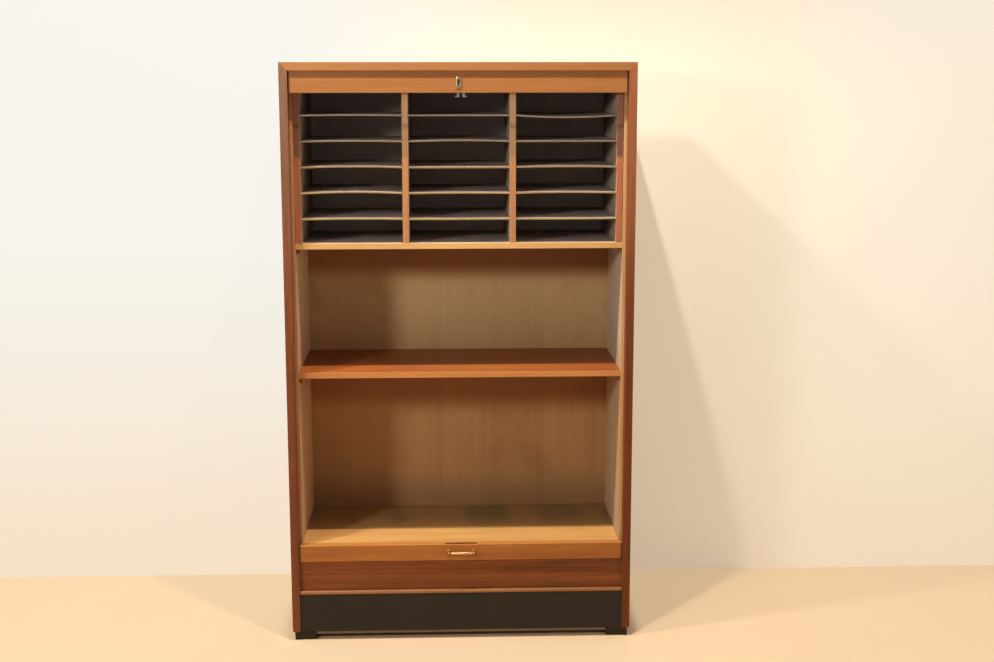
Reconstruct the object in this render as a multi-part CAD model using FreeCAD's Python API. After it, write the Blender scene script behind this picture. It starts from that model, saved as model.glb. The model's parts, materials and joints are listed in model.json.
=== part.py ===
import FreeCAD, Part
import math
import os

# Roll-front filing cabinet, modelled with its slatted shutter lowered.
# Millimetres, +Z up, front towards -Y, X = 0 in the middle, floor at Z = 0.
# A depth is measured backwards from the front edges of the case.

Vector = FreeCAD.Vector

# Pigeonhole unit: three columns of six cells
COLUMNS = ("left", "middle", "right")
ROWS = 6
CELL_W = 301.0
CELL_H = 72.2
BOTTOM_CELL_H = 69.6
DIVIDER_T = 18.5
UNIT_SIDE_T = 18.5
UNIT_TOP_T = 12.0
UNIT_BACK_T = 4.0
UNIT_FIT = 1.5              # between the unit and each inner side
UNIT_BACK_CLEAR = 5.0       # between the unit and the inner back
LETTER_SHELF_T = 4.5
LETTER_SHELF_RECESS = 1.0   # behind the divider's front edge
LETTER_SLOT_DEPTH = 3.0
LETTER_SLOT_FIT = 0.2

# Case boards
PANEL_T = 24.2              # sides and top
LINER_T = 8.5               # inner sides
INNER_BACK_T = 6.0
OUTER_BACK_T = 5.0
BACK_RABBET_W = 8.0
EDGE_FIT = 0.5              # at the edge of a panel in its rabbet, or of a shelf
BAY_DEPTH = 394.0           # front edge of the inner sides to the inner back
HEADROOM = 43.7             # above the pigeonhole unit
EDGE_ROUND = 1.0            # eased front edges of rails and shelves

# Shelves and floor
SHELF_T = 17.5
SHELF_RECESS = 7.0          # behind the front edge of the inner sides
SHELF_BACK_CLEAR = 1.0
MIDDLE_BAY_H = 376.4
LOWER_BAY_H = 517.4
FLOOR_T = 20.0
FLOOR_RECESS = 2.0
FLOOR_DROP = 0.5            # floor below the lowered lead rail's top
BEARER_W = 20.0
BEARER_H = 20.0
BEARER_INSET = 22.0         # from the ends of the inner sides
PEG_W = 10.0
PEG_D = 12.0
PEG_H = 14.0
PEG_PIN_R = 3.0
PEG_PIN_L = 6.0
PEG_INSET = 8.0             # from the shelf's front and back edges
PIN_FIT = 0.1

# Base
FOOT_H = 28.0
FOOT_W = 66.0
FOOT_L = 60.0
FOOT_INSET_X = 6.0
FOOT_INSET_Y = 10.0
FOOT_ROUND = 4.0
BOTTOM_RAIL_T = 16.0
BOTTOM_RAIL_W = 70.0
BATTEN_H = 10.0             # batten under the front rail, between the feet
BATTEN_W = 40.0
BATTEN_FOOT_GAP = 1.0
DUST_PANEL_T = 4.0
PLINTH_H = 119.6
PLINTH_RECESS = 4.0
PLINTH_CLEAR = 1.0          # between the plinth and the shutter's track
LIPPING_H = 10.4
LIPPING_RECESS = 2.0
LIPPING_ROUND = 3.0

# Slatted shutter and its track
SLAT_PITCH = 15.0
SLAT_GAP = 0.8
SLAT_T = 6.0
SLAT_CHAMFER = 0.6
CANVAS_T = 1.0
CANVAS_EDGE = 12.0          # canvas stops this far short of the sides
GROOVE_SETBACK = 14.0
GROOVE_DEPTH = 9.0
GROOVE_CLEAR = 0.5          # in front of and behind the shutter
GROOVE_END_CLEAR = 1.0
GROOVE_RUNOUT = 120.0       # track above the end of the stored shutter
BEND_R = 60.0               # at the middle of the track
RUN_CLEAR = 5.3             # under the track's bottom run
BACK_RUN_GAP = 3.0          # inner back to the track's back run
BACK_WEB = 6.0              # track's back run to the outer back
LINER_GAP = 16.0            # track's front run to the inner sides
FRONT_SLATS = 8             # slats under the lowered lead rail, above the feed slat
CURTAIN_TUCK = 15.0         # shutter left behind the plinth when closed
STOP_W = 16.0
STOP_H = 20.0
STOP_GAP = 1.0              # behind the track

# Lead rail and its fittings
LEAD_RAIL_H = 50.2
LEAD_RAIL_T = 31.0
RAIL_RECESS = 5.0
RAIL_END_GAP = 5.0          # from a rail's shoulder to the side
CLOSE_GAP = 1.5             # lead rail under the lock rail when closed
STRIKE_L = 98.0
STRIKE_W = 12.0
STRIKE_T = 2.0
STRIKE_SCREW_INSET = 11.0
STRIKE_POCKET_L = 56.0
STRIKE_POCKET_DEPTH = 18.0
STRIKE_POCKET_CLEAR = 1.0   # past the strike's slot, front and back
HANDLE_SPAN = 76.0
HANDLE_RISE = 27.5          # above the lead rail's lower edge
HANDLE_STANDOFF = 18.0      # rail to the middle of the bar
HANDLE_BAR_R = 4.2
HANDLE_ROSE_R = 8.6
HANDLE_ROSE_T = 3.0
HANDLE_POST_R = 4.8
HANDLE_HEAD_R = 6.5
HANDLE_SCREW_GRIP = 8.0     # thread inside a handle post

# Lock rail and jaw lock
LOCK_RAIL_H = 64.1
LOCK_RAIL_T = 20.0
LOCK_RAIL_RECESS = 8.0
LOCK_CASE_W = 60.0
LOCK_CASE_H = 46.0
LOCK_CASE_T = 14.0
LOCK_WALL = 1.5
LOCK_FIT = 0.3
FOREND_L = 76.0
FOREND_T = 2.0
FOREND_SCREW_INSET = 4.0
JAW_T = 3.0
JAW_SIDE_CLEAR = 1.5
JAW_PIVOT_X = 7.0
JAW_PIVOT_RISE = 16.0       # above the lock rail's underside
JAW_PIVOT_R = 2.5
JAW_BOSS_R = 6.0
JAW_INNER_X = 4.0
JAW_OUTER_X = 12.0
JAW_HOOK_X = 18.5
JAW_SHIFT = 6.0             # hooks to the right of the key axis
JAW_REACH = 12.8            # below the lock rail
JAW_HOOK_T = 3.8
JAW_TAIL_X = 6.5
JAW_TAIL_W = 5.0
JAW_TAIL_RISE = 19.0        # above the pivot
JAW_SLOT_CLEAR = 2.0        # past the hooks, in the forend and the strike
JAW_SLOT_W = 6.0
RUNNING_FIT = 0.08
KEY_RISE = 29.0             # key axis above the lock rail's underside
KEYHOLE_W = 5.0
KEYHOLE_H = 20.0
TUMBLER_R = 7.0
TUMBLER_T = 2.0
TUMBLER_GAP = 1.0           # behind the jaws
TUMBLER_STUB_R = 2.5
CAM_L = 9.0
CAM_T = 2.2
ESCUTCHEON_W = 19.0
ESCUTCHEON_H = 36.0
ESCUTCHEON_T = 2.8
ESCUTCHEON_ROUND = 1.2
ESCUTCHEON_PIN_R = 0.9
ESCUTCHEON_PIN_L = 6.0
ESCUTCHEON_PIN_INSET = 4.0

# Points closer than this count as one
TOUCH = 0.01

# Wood screws
SCREW_R = 1.5
SCREW_HEAD_R = 3.0
SCREW_HEAD_T = 1.8
SCREW_L = 14.0
SCREW_FIT = 0.1
BACK_SCREW_MARGIN = 1.5     # point of a back screw short of the track
BACK_SCREWS_SIDE = 6
BACK_SCREWS_EDGE = 3
BACK_SCREW_END = 60.0
FOOT_SCREW_R = 2.0
FOOT_SCREW_HEAD_R = 4.0
FOOT_SCREW_HEAD_T = 3.0
FOOT_SCREW_RECESS = 4.0
FOOT_SCREW_GRIP = 11.0
FOOT_SCREW_SPACING = 28.0
HANDLE_SCREW_R = 2.0
HANDLE_SCREW_HEAD_R = 3.8
HANDLE_SCREW_HEAD_T = 2.4

# Widths that follow from the pieces
COLUMN_STEP = CELL_W + DIVIDER_T
CELLS_HALF_W = (len(COLUMNS) * COLUMN_STEP - DIVIDER_T) / 2
UNIT_HALF_W = CELLS_HALF_W + UNIT_SIDE_T
BAY_HALF_W = UNIT_HALF_W + UNIT_FIT
SIDE_IN_X = BAY_HALF_W + LINER_T
CASE_HALF_W = SIDE_IN_X + PANEL_T
SLAT_HALF_L = SIDE_IN_X + GROOVE_DEPTH - GROOVE_END_CLEAR
RAIL_HALF_L = SIDE_IN_X - RAIL_END_GAP

# Depths that follow from the pieces
GROOVE_W = SLAT_T + CANVAS_T + 2 * GROOVE_CLEAR
FRONT_RUN_D = GROOVE_SETBACK + GROOVE_W / 2
LINER_FRONT_D = GROOVE_SETBACK + GROOVE_W + LINER_GAP
INNER_BACK_D = LINER_FRONT_D + BAY_DEPTH
BACK_RUN_D = INNER_BACK_D + INNER_BACK_T + BACK_RUN_GAP + GROOVE_W / 2
OUTER_BACK_D = BACK_RUN_D + GROOVE_W / 2 + BACK_WEB
CASE_D = OUTER_BACK_D + OUTER_BACK_T
SHELF_FRONT_D = LINER_FRONT_D + SHELF_RECESS
SHELF_BACK_D = INNER_BACK_D - SHELF_BACK_CLEAR
UNIT_BACK_D = INNER_BACK_D - UNIT_BACK_CLEAR - UNIT_BACK_T
LOCK_RAIL_BACK_D = LOCK_RAIL_RECESS + LOCK_RAIL_T
LOCK_CASE_D = LOCK_RAIL_BACK_D - LOCK_CASE_T
LOCK_COVER_D = LOCK_RAIL_BACK_D - LOCK_WALL
JAW_D = LOCK_CASE_D + LOCK_WALL + JAW_SIDE_CLEAR
JAW_MID_D = JAW_D + JAW_T / 2
HANDLE_PROUD = HANDLE_STANDOFF + HANDLE_HEAD_R - RAIL_RECESS
FRONT_Y = -(CASE_D - HANDLE_PROUD) / 2

# Heights that follow from the pieces
DUST_TOP_Z = FOOT_H + BOTTOM_RAIL_T + DUST_PANEL_T
RUN_Z = DUST_TOP_Z + RUN_CLEAR + GROOVE_W / 2
BEND_Z = RUN_Z + BEND_R
FEED_TOP_Z = BEND_Z + SLAT_PITCH
LEAD_RAIL_Z = FEED_TOP_Z + FRONT_SLATS * SLAT_PITCH
LEAD_TOP_Z = LEAD_RAIL_Z + LEAD_RAIL_H
LIPPING_Z = FOOT_H + PLINTH_H
LINER_Z = BEND_Z + GROOVE_W / 2
FLOOR_Z = LEAD_TOP_Z - FLOOR_DROP
MIDDLE_SHELF_Z = FLOOR_Z + LOWER_BAY_H
BASE_SHELF_Z = MIDDLE_SHELF_Z + SHELF_T + MIDDLE_BAY_H
UNIT_Z = BASE_SHELF_Z + SHELF_T
UNIT_TOP_Z = UNIT_Z + BOTTOM_CELL_H + (ROWS - 1) * (LETTER_SHELF_T + CELL_H)
TOP_Z = UNIT_TOP_Z + UNIT_TOP_T + HEADROOM
CASE_H = TOP_Z + PANEL_T
LOCK_RAIL_Z = TOP_Z - LOCK_RAIL_H
KEY_Z = LOCK_RAIL_Z + KEY_RISE
HANDLE_Z = LEAD_RAIL_Z + HANDLE_RISE

# Shutter travel and how much of it is stored
TRAVEL = LOCK_RAIL_Z - CLOSE_GAP - LEAD_TOP_Z
CLOSED_LENGTH = LEAD_RAIL_Z + TRAVEL - LIPPING_Z + CURTAIN_TUCK
STORED_SLATS = math.ceil(CLOSED_LENGTH / SLAT_PITCH) - FRONT_SLATS - 1
BEND_LENGTH = BEND_R * math.pi / 2
BOTTOM_RUN_LENGTH = BACK_RUN_D - FRONT_RUN_D - 2 * BEND_R
BACK_RUN_LENGTH = STORED_SLATS * SLAT_PITCH - 2 * BEND_LENGTH - BOTTOM_RUN_LENGTH
STORE_TOP_Z = BEND_Z + BACK_RUN_LENGTH

UP = Vector(0, 0, 1)
BACKWARDS = Vector(0, 1, 0)
SIDEWAYS = Vector(1, 0, 0)


def at(x, depth, z):
    """Point at an X, a depth behind the case front and a height."""
    return Vector(x, FRONT_Y + depth, z)


def block(x0, x1, d0, d1, z0, z1):
    """Box between two X values, two depths and two heights."""
    return Part.makeBox(x1 - x0, d1 - d0, z1 - z0, at(x0, d0, z0))


def rod(radius, length, base, direction):
    """Round bar from a base point."""
    return Part.makeCylinder(radius, length, base, direction)


def prism(points, direction):
    """Solid from a closed outline of points, pushed along a direction."""
    return Part.Face(Part.makePolygon(points + points[:1])).extrude(direction)


def mirrored(shape):
    """The same piece on the other side of the cabinet."""
    return shape.mirror(Vector(0, 0, 0), SIDEWAYS)


def front_eased(shape, radius):
    """Rounds the long edges of a board's front face."""
    low = min(vertex.Point.y for vertex in shape.Vertexes)
    edges = []
    for edge in shape.Edges:
        ends = [vertex.Point for vertex in edge.Vertexes]
        on_front = all(abs(point.y - low) < TOUCH for point in ends)
        if on_front and abs(ends[0].x - ends[-1].x) > radius:
            edges.append(edge)
    return shape.makeFillet(radius, edges)


def slot_solid(width, height, depth_from, length, z_mid):
    """Upright round-ended slot, pushed backwards from a depth."""
    radius = width / 2
    straight = (height - width) / 2
    low = z_mid - straight
    high = z_mid + straight
    right = Part.LineSegment(at(radius, depth_from, low), at(radius, depth_from, high))
    top = Part.Arc(right.EndPoint, at(0, depth_from, high + radius), at(-radius, depth_from, high))
    left = Part.LineSegment(top.EndPoint, at(-radius, depth_from, low))
    bottom = Part.Arc(left.EndPoint, at(0, depth_from, low - radius), at(radius, depth_from, low))
    outline = Part.Wire([curve.toShape() for curve in (right, top, left, bottom)])
    return Part.Face(outline).extrude(BACKWARDS * length)


def screw(base, direction, radius, head_radius, head_t, length):
    """Countersunk screw whose head lies flush at the base point."""
    head = Part.makeCone(head_radius, radius, head_t, base, direction)
    return head.fuse(rod(radius, length, base, direction)).removeSplitter()


def screw_hole(base, direction, radius, head_radius, head_t, length):
    """Hole that clears a screw all round."""
    return screw(base, direction, radius + SCREW_FIT, head_radius + SCREW_FIT, head_t + SCREW_FIT,
                 length + SCREW_FIT)


def track_strip(inward, outward, front_top, back_top, x0, x1):
    """Solid along the shutter's track, between two offsets from its middle line."""
    def run_points(offset):
        radius = BEND_R + offset
        diagonal = radius * math.sqrt(0.5)
        front_d = FRONT_RUN_D - offset
        back_d = BACK_RUN_D + offset
        front_c = FRONT_RUN_D + BEND_R
        back_c = BACK_RUN_D - BEND_R
        return {
            "front_top": at(x0, front_d, front_top),
            "front_low": at(x0, front_d, BEND_Z),
            "front_mid": at(x0, front_c - diagonal, BEND_Z - diagonal),
            "bottom_front": at(x0, front_c, BEND_Z - radius),
            "bottom_back": at(x0, back_c, BEND_Z - radius),
            "back_mid": at(x0, back_c + diagonal, BEND_Z - diagonal),
            "back_low": at(x0, back_d, BEND_Z),
            "back_top": at(x0, back_d, back_top),
        }

    def run_curves(point):
        curves = []
        if front_top > BEND_Z:
            curves.append(Part.LineSegment(point["front_top"], point["front_low"]))
        curves.append(Part.Arc(point["front_low"], point["front_mid"], point["bottom_front"]))
        curves.append(Part.LineSegment(point["bottom_front"], point["bottom_back"]))
        curves.append(Part.Arc(point["bottom_back"], point["back_mid"], point["back_low"]))
        curves.append(Part.LineSegment(point["back_low"], point["back_top"]))
        return curves

    outer = run_points(outward)
    inner = run_points(-inward)
    curves = run_curves(outer) + run_curves(inner)
    curves.append(Part.LineSegment(outer["front_top"], inner["front_top"]))
    curves.append(Part.LineSegment(outer["back_top"], inner["back_top"]))
    edges = Part.__sortEdges__([curve.toShape() for curve in curves])
    return Part.Face(Part.Wire(edges)).extrude(Vector(x1 - x0, 0, 0))


def slat(depth_mid, z_mid):
    """One slat of the front run, its outer face to the front with chamfered long edges."""
    front = depth_mid - GROOVE_W / 2 + GROOVE_CLEAR
    back = front + SLAT_T
    low = z_mid - (SLAT_PITCH - SLAT_GAP) / 2
    high = z_mid + (SLAT_PITCH - SLAT_GAP) / 2
    outline = [
        at(-SLAT_HALF_L, front, low + SLAT_CHAMFER),
        at(-SLAT_HALF_L, front, high - SLAT_CHAMFER),
        at(-SLAT_HALF_L, front + SLAT_CHAMFER, high),
        at(-SLAT_HALF_L, back, high),
        at(-SLAT_HALF_L, back, low),
        at(-SLAT_HALF_L, front + SLAT_CHAMFER, low),
    ]
    return prism(outline, Vector(2 * SLAT_HALF_L, 0, 0))


def track_pose(distance):
    """Depth, height and turn in degrees of the track at a distance past the top of its front bend."""
    front_c = FRONT_RUN_D + BEND_R
    back_c = BACK_RUN_D - BEND_R
    if distance < BEND_LENGTH:
        turn = distance / BEND_R
        return front_c - BEND_R * math.cos(turn), BEND_Z - BEND_R * math.sin(turn), math.degrees(turn)
    distance -= BEND_LENGTH
    if distance < BOTTOM_RUN_LENGTH:
        return front_c + distance, RUN_Z, 90.0
    distance -= BOTTOM_RUN_LENGTH
    if distance < BEND_LENGTH:
        turn = distance / BEND_R
        return back_c + BEND_R * math.sin(turn), BEND_Z - BEND_R * math.cos(turn), 90.0 + math.degrees(turn)
    return BACK_RUN_D, BEND_Z + distance - BEND_LENGTH, 180.0


def canvas_band(depth_mid, z0, z1):
    """Straight stretch of the canvas behind the slats."""
    front = depth_mid - GROOVE_W / 2 + GROOVE_CLEAR + SLAT_T
    half = SIDE_IN_X - CANVAS_EDGE
    return block(-half, half, front, front + CANVAS_T, z0, z1)


def back_screw_points():
    """Places of the outer back's screws: up both sides, along the top and the bottom."""
    x_side = SIDE_IN_X + BACK_RABBET_W / 2
    low = FOOT_H + BACK_SCREW_END
    step = (TOP_Z - BACK_SCREW_END - low) / (BACK_SCREWS_SIDE - 1)
    points = []
    for index in range(BACK_SCREWS_SIDE):
        for x in (-x_side, x_side):
            points.append(at(x, CASE_D, low + index * step))
    spread = 2 * SIDE_IN_X / BACK_SCREWS_EDGE
    for index in range(BACK_SCREWS_EDGE):
        x = (index - (BACK_SCREWS_EDGE - 1) / 2) * spread
        points.append(at(x, CASE_D, TOP_Z + BACK_RABBET_W / 2))
        points.append(at(x, CASE_D, FOOT_H + BOTTOM_RAIL_T / 2))
    return points


def back_screw_shapes(make):
    """Screws, or their holes, at every place on the outer back."""
    length = OUTER_BACK_T + BACK_WEB - BACK_SCREW_MARGIN
    shapes = []
    for point in back_screw_points():
        shapes.append(make(point, -BACKWARDS, SCREW_R, SCREW_HEAD_R, SCREW_HEAD_T, length))
    return shapes


def foot_corners():
    """Least X and depth of each foot."""
    x_out = CASE_HALF_W - FOOT_INSET_X
    back = CASE_D - FOOT_INSET_Y - FOOT_L
    return [(x, depth) for depth in (FOOT_INSET_Y, back) for x in (-x_out, x_out - FOOT_W)]


def foot_screw_points():
    """Places of the foot screws' heads, under the bottom rails."""
    inward = (SIDE_IN_X + CASE_HALF_W - FOOT_INSET_X - FOOT_W) / 2
    points = []
    for x0, d0 in foot_corners():
        x = math.copysign(inward, x0)
        for shift in (-FOOT_SCREW_SPACING / 2, FOOT_SCREW_SPACING / 2):
            points.append(at(x, d0 + FOOT_L / 2 + shift, FOOT_SCREW_RECESS))
    return points


def foot_screw_shapes(make):
    """Foot screws, or their holes."""
    length = FOOT_H - FOOT_SCREW_RECESS + FOOT_SCREW_GRIP
    shapes = []
    for point in foot_screw_points():
        shapes.append(make(point, UP, FOOT_SCREW_R, FOOT_SCREW_HEAD_R, FOOT_SCREW_HEAD_T, length))
    return shapes


def side_panels():
    """Two sides, mitred at the top, with the shutter's track and the back rabbet."""
    outline = [
        at(SIDE_IN_X, 0, FOOT_H),
        at(CASE_HALF_W, 0, FOOT_H),
        at(CASE_HALF_W, 0, CASE_H),
        at(SIDE_IN_X, 0, TOP_Z),
    ]
    right = prism(outline, BACKWARDS * CASE_D)
    track = track_strip(GROOVE_W / 2, GROOVE_W / 2, TOP_Z, STORE_TOP_Z + GROOVE_RUNOUT,
                        SIDE_IN_X, SIDE_IN_X + GROOVE_DEPTH)
    rabbet = block(SIDE_IN_X, SIDE_IN_X + BACK_RABBET_W, OUTER_BACK_D, CASE_D, FOOT_H, CASE_H)
    right = right.cut([track, rabbet])
    left = mirrored(right)
    holes = back_screw_shapes(screw_hole)
    return {"side_panel_left": left.cut(holes), "side_panel_right": right.cut(holes)}


def top_panel():
    """Top, mitred to the sides, rabbeted for the outer back."""
    outline = [
        at(-SIDE_IN_X, 0, TOP_Z),
        at(-CASE_HALF_W, 0, CASE_H),
        at(CASE_HALF_W, 0, CASE_H),
        at(SIDE_IN_X, 0, TOP_Z),
    ]
    rabbet_x = SIDE_IN_X + BACK_RABBET_W
    rabbet = block(-rabbet_x, rabbet_x, OUTER_BACK_D, CASE_D, TOP_Z, TOP_Z + BACK_RABBET_W)
    panel = prism(outline, BACKWARDS * CASE_D).cut([rabbet] + back_screw_shapes(screw_hole))
    return {"top_panel": panel}


def backs():
    """Outer back in its rabbet, its screws, and the inner back in front of the stored shutter."""
    half = SIDE_IN_X + BACK_RABBET_W - EDGE_FIT
    outer = block(-half, half, OUTER_BACK_D, CASE_D, FOOT_H, TOP_Z + BACK_RABBET_W - EDGE_FIT)
    inner = block(-SIDE_IN_X, SIDE_IN_X, INNER_BACK_D, INNER_BACK_D + INNER_BACK_T, LINER_Z, TOP_Z)
    return {
        "outer_back": outer.cut(back_screw_shapes(screw_hole)),
        "back_screws": Part.makeCompound(back_screw_shapes(screw)),
        "inner_back": inner,
    }


def peg_places():
    """Depth and top height of each shelf peg, for one side."""
    front = SHELF_FRONT_D + PEG_INSET
    back = SHELF_BACK_D - PEG_INSET - PEG_D
    return [(depth, z) for z in (MIDDLE_SHELF_Z, BASE_SHELF_Z) for depth in (front, back)]


def inner_sides():
    """Thin inner sides between the two runs of the track, drilled for the shelf pegs."""
    right = block(BAY_HALF_W, SIDE_IN_X, LINER_FRONT_D, INNER_BACK_D, LINER_Z, TOP_Z)
    holes = []
    for depth, z in peg_places():
        middle = at(BAY_HALF_W, depth + PEG_D / 2, z - PEG_H / 2)
        holes.append(rod(PEG_PIN_R + PIN_FIT, LINER_T, middle, SIDEWAYS))
    right = right.cut(holes)
    return {"inner_side_left": mirrored(right), "inner_side_right": right}


def shelf_pegs():
    """Eight wooden pegs, each a block with a pin in the inner side."""
    pegs = []
    for depth, z in peg_places():
        body = block(BAY_HALF_W - PEG_W, BAY_HALF_W, depth, depth + PEG_D, z - PEG_H, z)
        middle = at(BAY_HALF_W - PEG_W / 2, depth + PEG_D / 2, z - PEG_H / 2)
        peg = body.fuse(rod(PEG_PIN_R, PEG_W / 2 + PEG_PIN_L, middle, SIDEWAYS)).removeSplitter()
        pegs += [peg, mirrored(peg)]
    return {"shelf_pegs": Part.makeCompound(pegs)}


def shelves_and_floor():
    """Floor on its two bearers, and the two full-width shelves."""
    half = BAY_HALF_W - EDGE_FIT
    pieces = {}
    for name, z in (("middle_shelf", MIDDLE_SHELF_Z), ("base_shelf", BASE_SHELF_Z)):
        board = block(-half, half, SHELF_FRONT_D, SHELF_BACK_D, z, z + SHELF_T)
        pieces[name] = front_eased(board, EDGE_ROUND)
    floor = block(-half, half, LINER_FRONT_D + FLOOR_RECESS, SHELF_BACK_D, FLOOR_Z - FLOOR_T, FLOOR_Z)
    pieces["inner_floor"] = front_eased(floor, EDGE_ROUND)
    bearer = block(BAY_HALF_W - BEARER_W, BAY_HALF_W, LINER_FRONT_D + BEARER_INSET,
                   INNER_BACK_D - BEARER_INSET, FLOOR_Z - FLOOR_T - BEARER_H, FLOOR_Z - FLOOR_T)
    pieces["floor_bearers"] = Part.makeCompound([bearer, mirrored(bearer)])
    return pieces


def base():
    """Plinth board and its lipping, bottom rails and batten, dust panel, and four feet with their screws."""
    plinth_back = GROOVE_SETBACK - PLINTH_CLEAR
    rail_back = OUTER_BACK_D - BOTTOM_RAIL_W
    rail_top = FOOT_H + BOTTOM_RAIL_T
    batten_x = CASE_HALF_W - FOOT_INSET_X - FOOT_W - BATTEN_FOOT_GAP
    rails = [
        block(-SIDE_IN_X, SIDE_IN_X, plinth_back, plinth_back + BOTTOM_RAIL_W, FOOT_H, rail_top),
        block(-SIDE_IN_X, SIDE_IN_X, rail_back, OUTER_BACK_D, FOOT_H, rail_top),
        block(-batten_x, batten_x, FOOT_INSET_Y, FOOT_INSET_Y + BATTEN_W, FOOT_H - BATTEN_H, FOOT_H),
    ]
    holes = foot_screw_shapes(screw_hole) + back_screw_shapes(screw_hole)
    lipping = block(-SIDE_IN_X, SIDE_IN_X, LIPPING_RECESS, plinth_back, LIPPING_Z, LIPPING_Z + LIPPING_H)
    pieces = {
        "plinth_board": block(-SIDE_IN_X, SIDE_IN_X, PLINTH_RECESS, plinth_back, FOOT_H, LIPPING_Z),
        "plinth_lipping": front_eased(lipping, LIPPING_ROUND),
        "bottom_rails": Part.makeCompound([rail.cut(holes) for rail in rails]),
        "dust_panel": block(-SIDE_IN_X, SIDE_IN_X, plinth_back, OUTER_BACK_D,
                            DUST_TOP_Z - DUST_PANEL_T, DUST_TOP_Z),
        "foot_screws": Part.makeCompound(foot_screw_shapes(screw)),
    }
    wells = []
    for point in foot_screw_points():
        well = Vector(point.x, point.y, 0)
        wells.append(rod(FOOT_SCREW_HEAD_R + SCREW_FIT, FOOT_SCREW_RECESS, well, UP))
    feet = []
    for x0, d0 in foot_corners():
        foot = block(x0, x0 + FOOT_W, d0, d0 + FOOT_L, 0, FOOT_H)
        upright = [edge for edge in foot.Edges if abs(edge.Vertexes[0].Z - edge.Vertexes[1].Z) > FOOT_H / 2]
        foot = foot.makeFillet(FOOT_ROUND, upright)
        feet.append(foot.cut(wells + foot_screw_shapes(screw_hole)))
    pieces["feet"] = Part.makeCompound(feet)
    return pieces


def letter_slots(x0, x1):
    """Slots between two X values, one for each row of letter shelves."""
    slots = []
    for row in range(1, ROWS):
        low = letter_shelf_z(row) - LETTER_SLOT_FIT / 2
        high = letter_shelf_z(row) + LETTER_SHELF_T + LETTER_SLOT_FIT / 2
        slots.append(block(x0, x1, SHELF_FRONT_D, UNIT_BACK_D, low, high))
    return slots


def letter_shelf_z(row):
    """Underside of a letter shelf, with rows counted from the top."""
    shelves_below = ROWS - row - 1
    return UNIT_Z + BOTTOM_CELL_H + shelves_below * (LETTER_SHELF_T + CELL_H)


def pigeonholes():
    """Sides, top, back, dividers and thin letter shelves of the pigeonhole unit."""
    right = block(CELLS_HALF_W, UNIT_HALF_W, SHELF_FRONT_D, UNIT_BACK_D, UNIT_Z, UNIT_TOP_Z)
    right = right.cut(letter_slots(CELLS_HALF_W, CELLS_HALF_W + LETTER_SLOT_DEPTH))
    top = block(-UNIT_HALF_W, UNIT_HALF_W, SHELF_FRONT_D, UNIT_BACK_D, UNIT_TOP_Z, UNIT_TOP_Z + UNIT_TOP_T)
    back = block(-UNIT_HALF_W, UNIT_HALF_W, UNIT_BACK_D, UNIT_BACK_D + UNIT_BACK_T,
                 UNIT_Z, UNIT_TOP_Z + UNIT_TOP_T)
    pieces = {
        "pigeonhole_side_left": mirrored(right),
        "pigeonhole_side_right": right,
        "pigeonhole_top": top,
        "pigeonhole_back": back,
    }
    x0 = CELL_W / 2
    divider = block(x0, x0 + DIVIDER_T, SHELF_FRONT_D, UNIT_BACK_D, UNIT_Z, UNIT_TOP_Z)
    slots = letter_slots(x0, x0 + LETTER_SLOT_DEPTH)
    slots += letter_slots(x0 + DIVIDER_T - LETTER_SLOT_DEPTH, x0 + DIVIDER_T)
    pieces["divider_right"] = divider.cut(slots)
    pieces["divider_left"] = mirrored(pieces["divider_right"])
    tongue = LETTER_SLOT_DEPTH - LETTER_SLOT_FIT
    for index, column in enumerate(COLUMNS):
        left = -CELLS_HALF_W + index * COLUMN_STEP
        for row in range(1, ROWS):
            z = letter_shelf_z(row)
            pieces[f"letter_shelf_{column}_{row}"] = block(
                left - tongue, left + CELL_W + tongue, SHELF_FRONT_D + LETTER_SHELF_RECESS, UNIT_BACK_D,
                z, z + LETTER_SHELF_T)
    return pieces


def rail_with_tongues(d0, d1, z0, z1):
    """Rail between the sides, with a tongue at each end that stands in the track."""
    body = block(-RAIL_HALF_L, RAIL_HALF_L, d0, d1, z0, z1)
    front = GROOVE_SETBACK + GROOVE_CLEAR
    back = GROOVE_SETBACK + GROOVE_W - GROOVE_CLEAR
    tongue = block(-SLAT_HALF_L, SLAT_HALF_L, front, back, z0, z1)
    return front_eased(body, EDGE_ROUND).fuse(tongue).removeSplitter()


def jaw_slot(z0, z1):
    """Slot that the two jaws pass through."""
    half = JAW_HOOK_X + JAW_SLOT_CLEAR
    front = JAW_MID_D - JAW_SLOT_W / 2
    return block(JAW_SHIFT - half, JAW_SHIFT + half, front, front + JAW_SLOT_W, z0, z1)


def forend_screw_shapes(make):
    """Two screws, or holes, through the lock's forend into the lock rail."""
    x = FOREND_L / 2 - FOREND_SCREW_INSET
    return [make(at(side * x, JAW_MID_D, LOCK_RAIL_Z), UP, SCREW_R, SCREW_HEAD_R, SCREW_HEAD_T, SCREW_L)
            for side in (-1, 1)]


def escutcheon_pin_shapes(radius):
    """Two pins on the back of the escutcheon, or their holes in the lock rail."""
    rise = ESCUTCHEON_H / 2 - ESCUTCHEON_PIN_INSET
    return [rod(radius, ESCUTCHEON_PIN_L, at(0, LOCK_RAIL_RECESS, KEY_Z + side * rise), BACKWARDS)
            for side in (-1, 1)]


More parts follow.
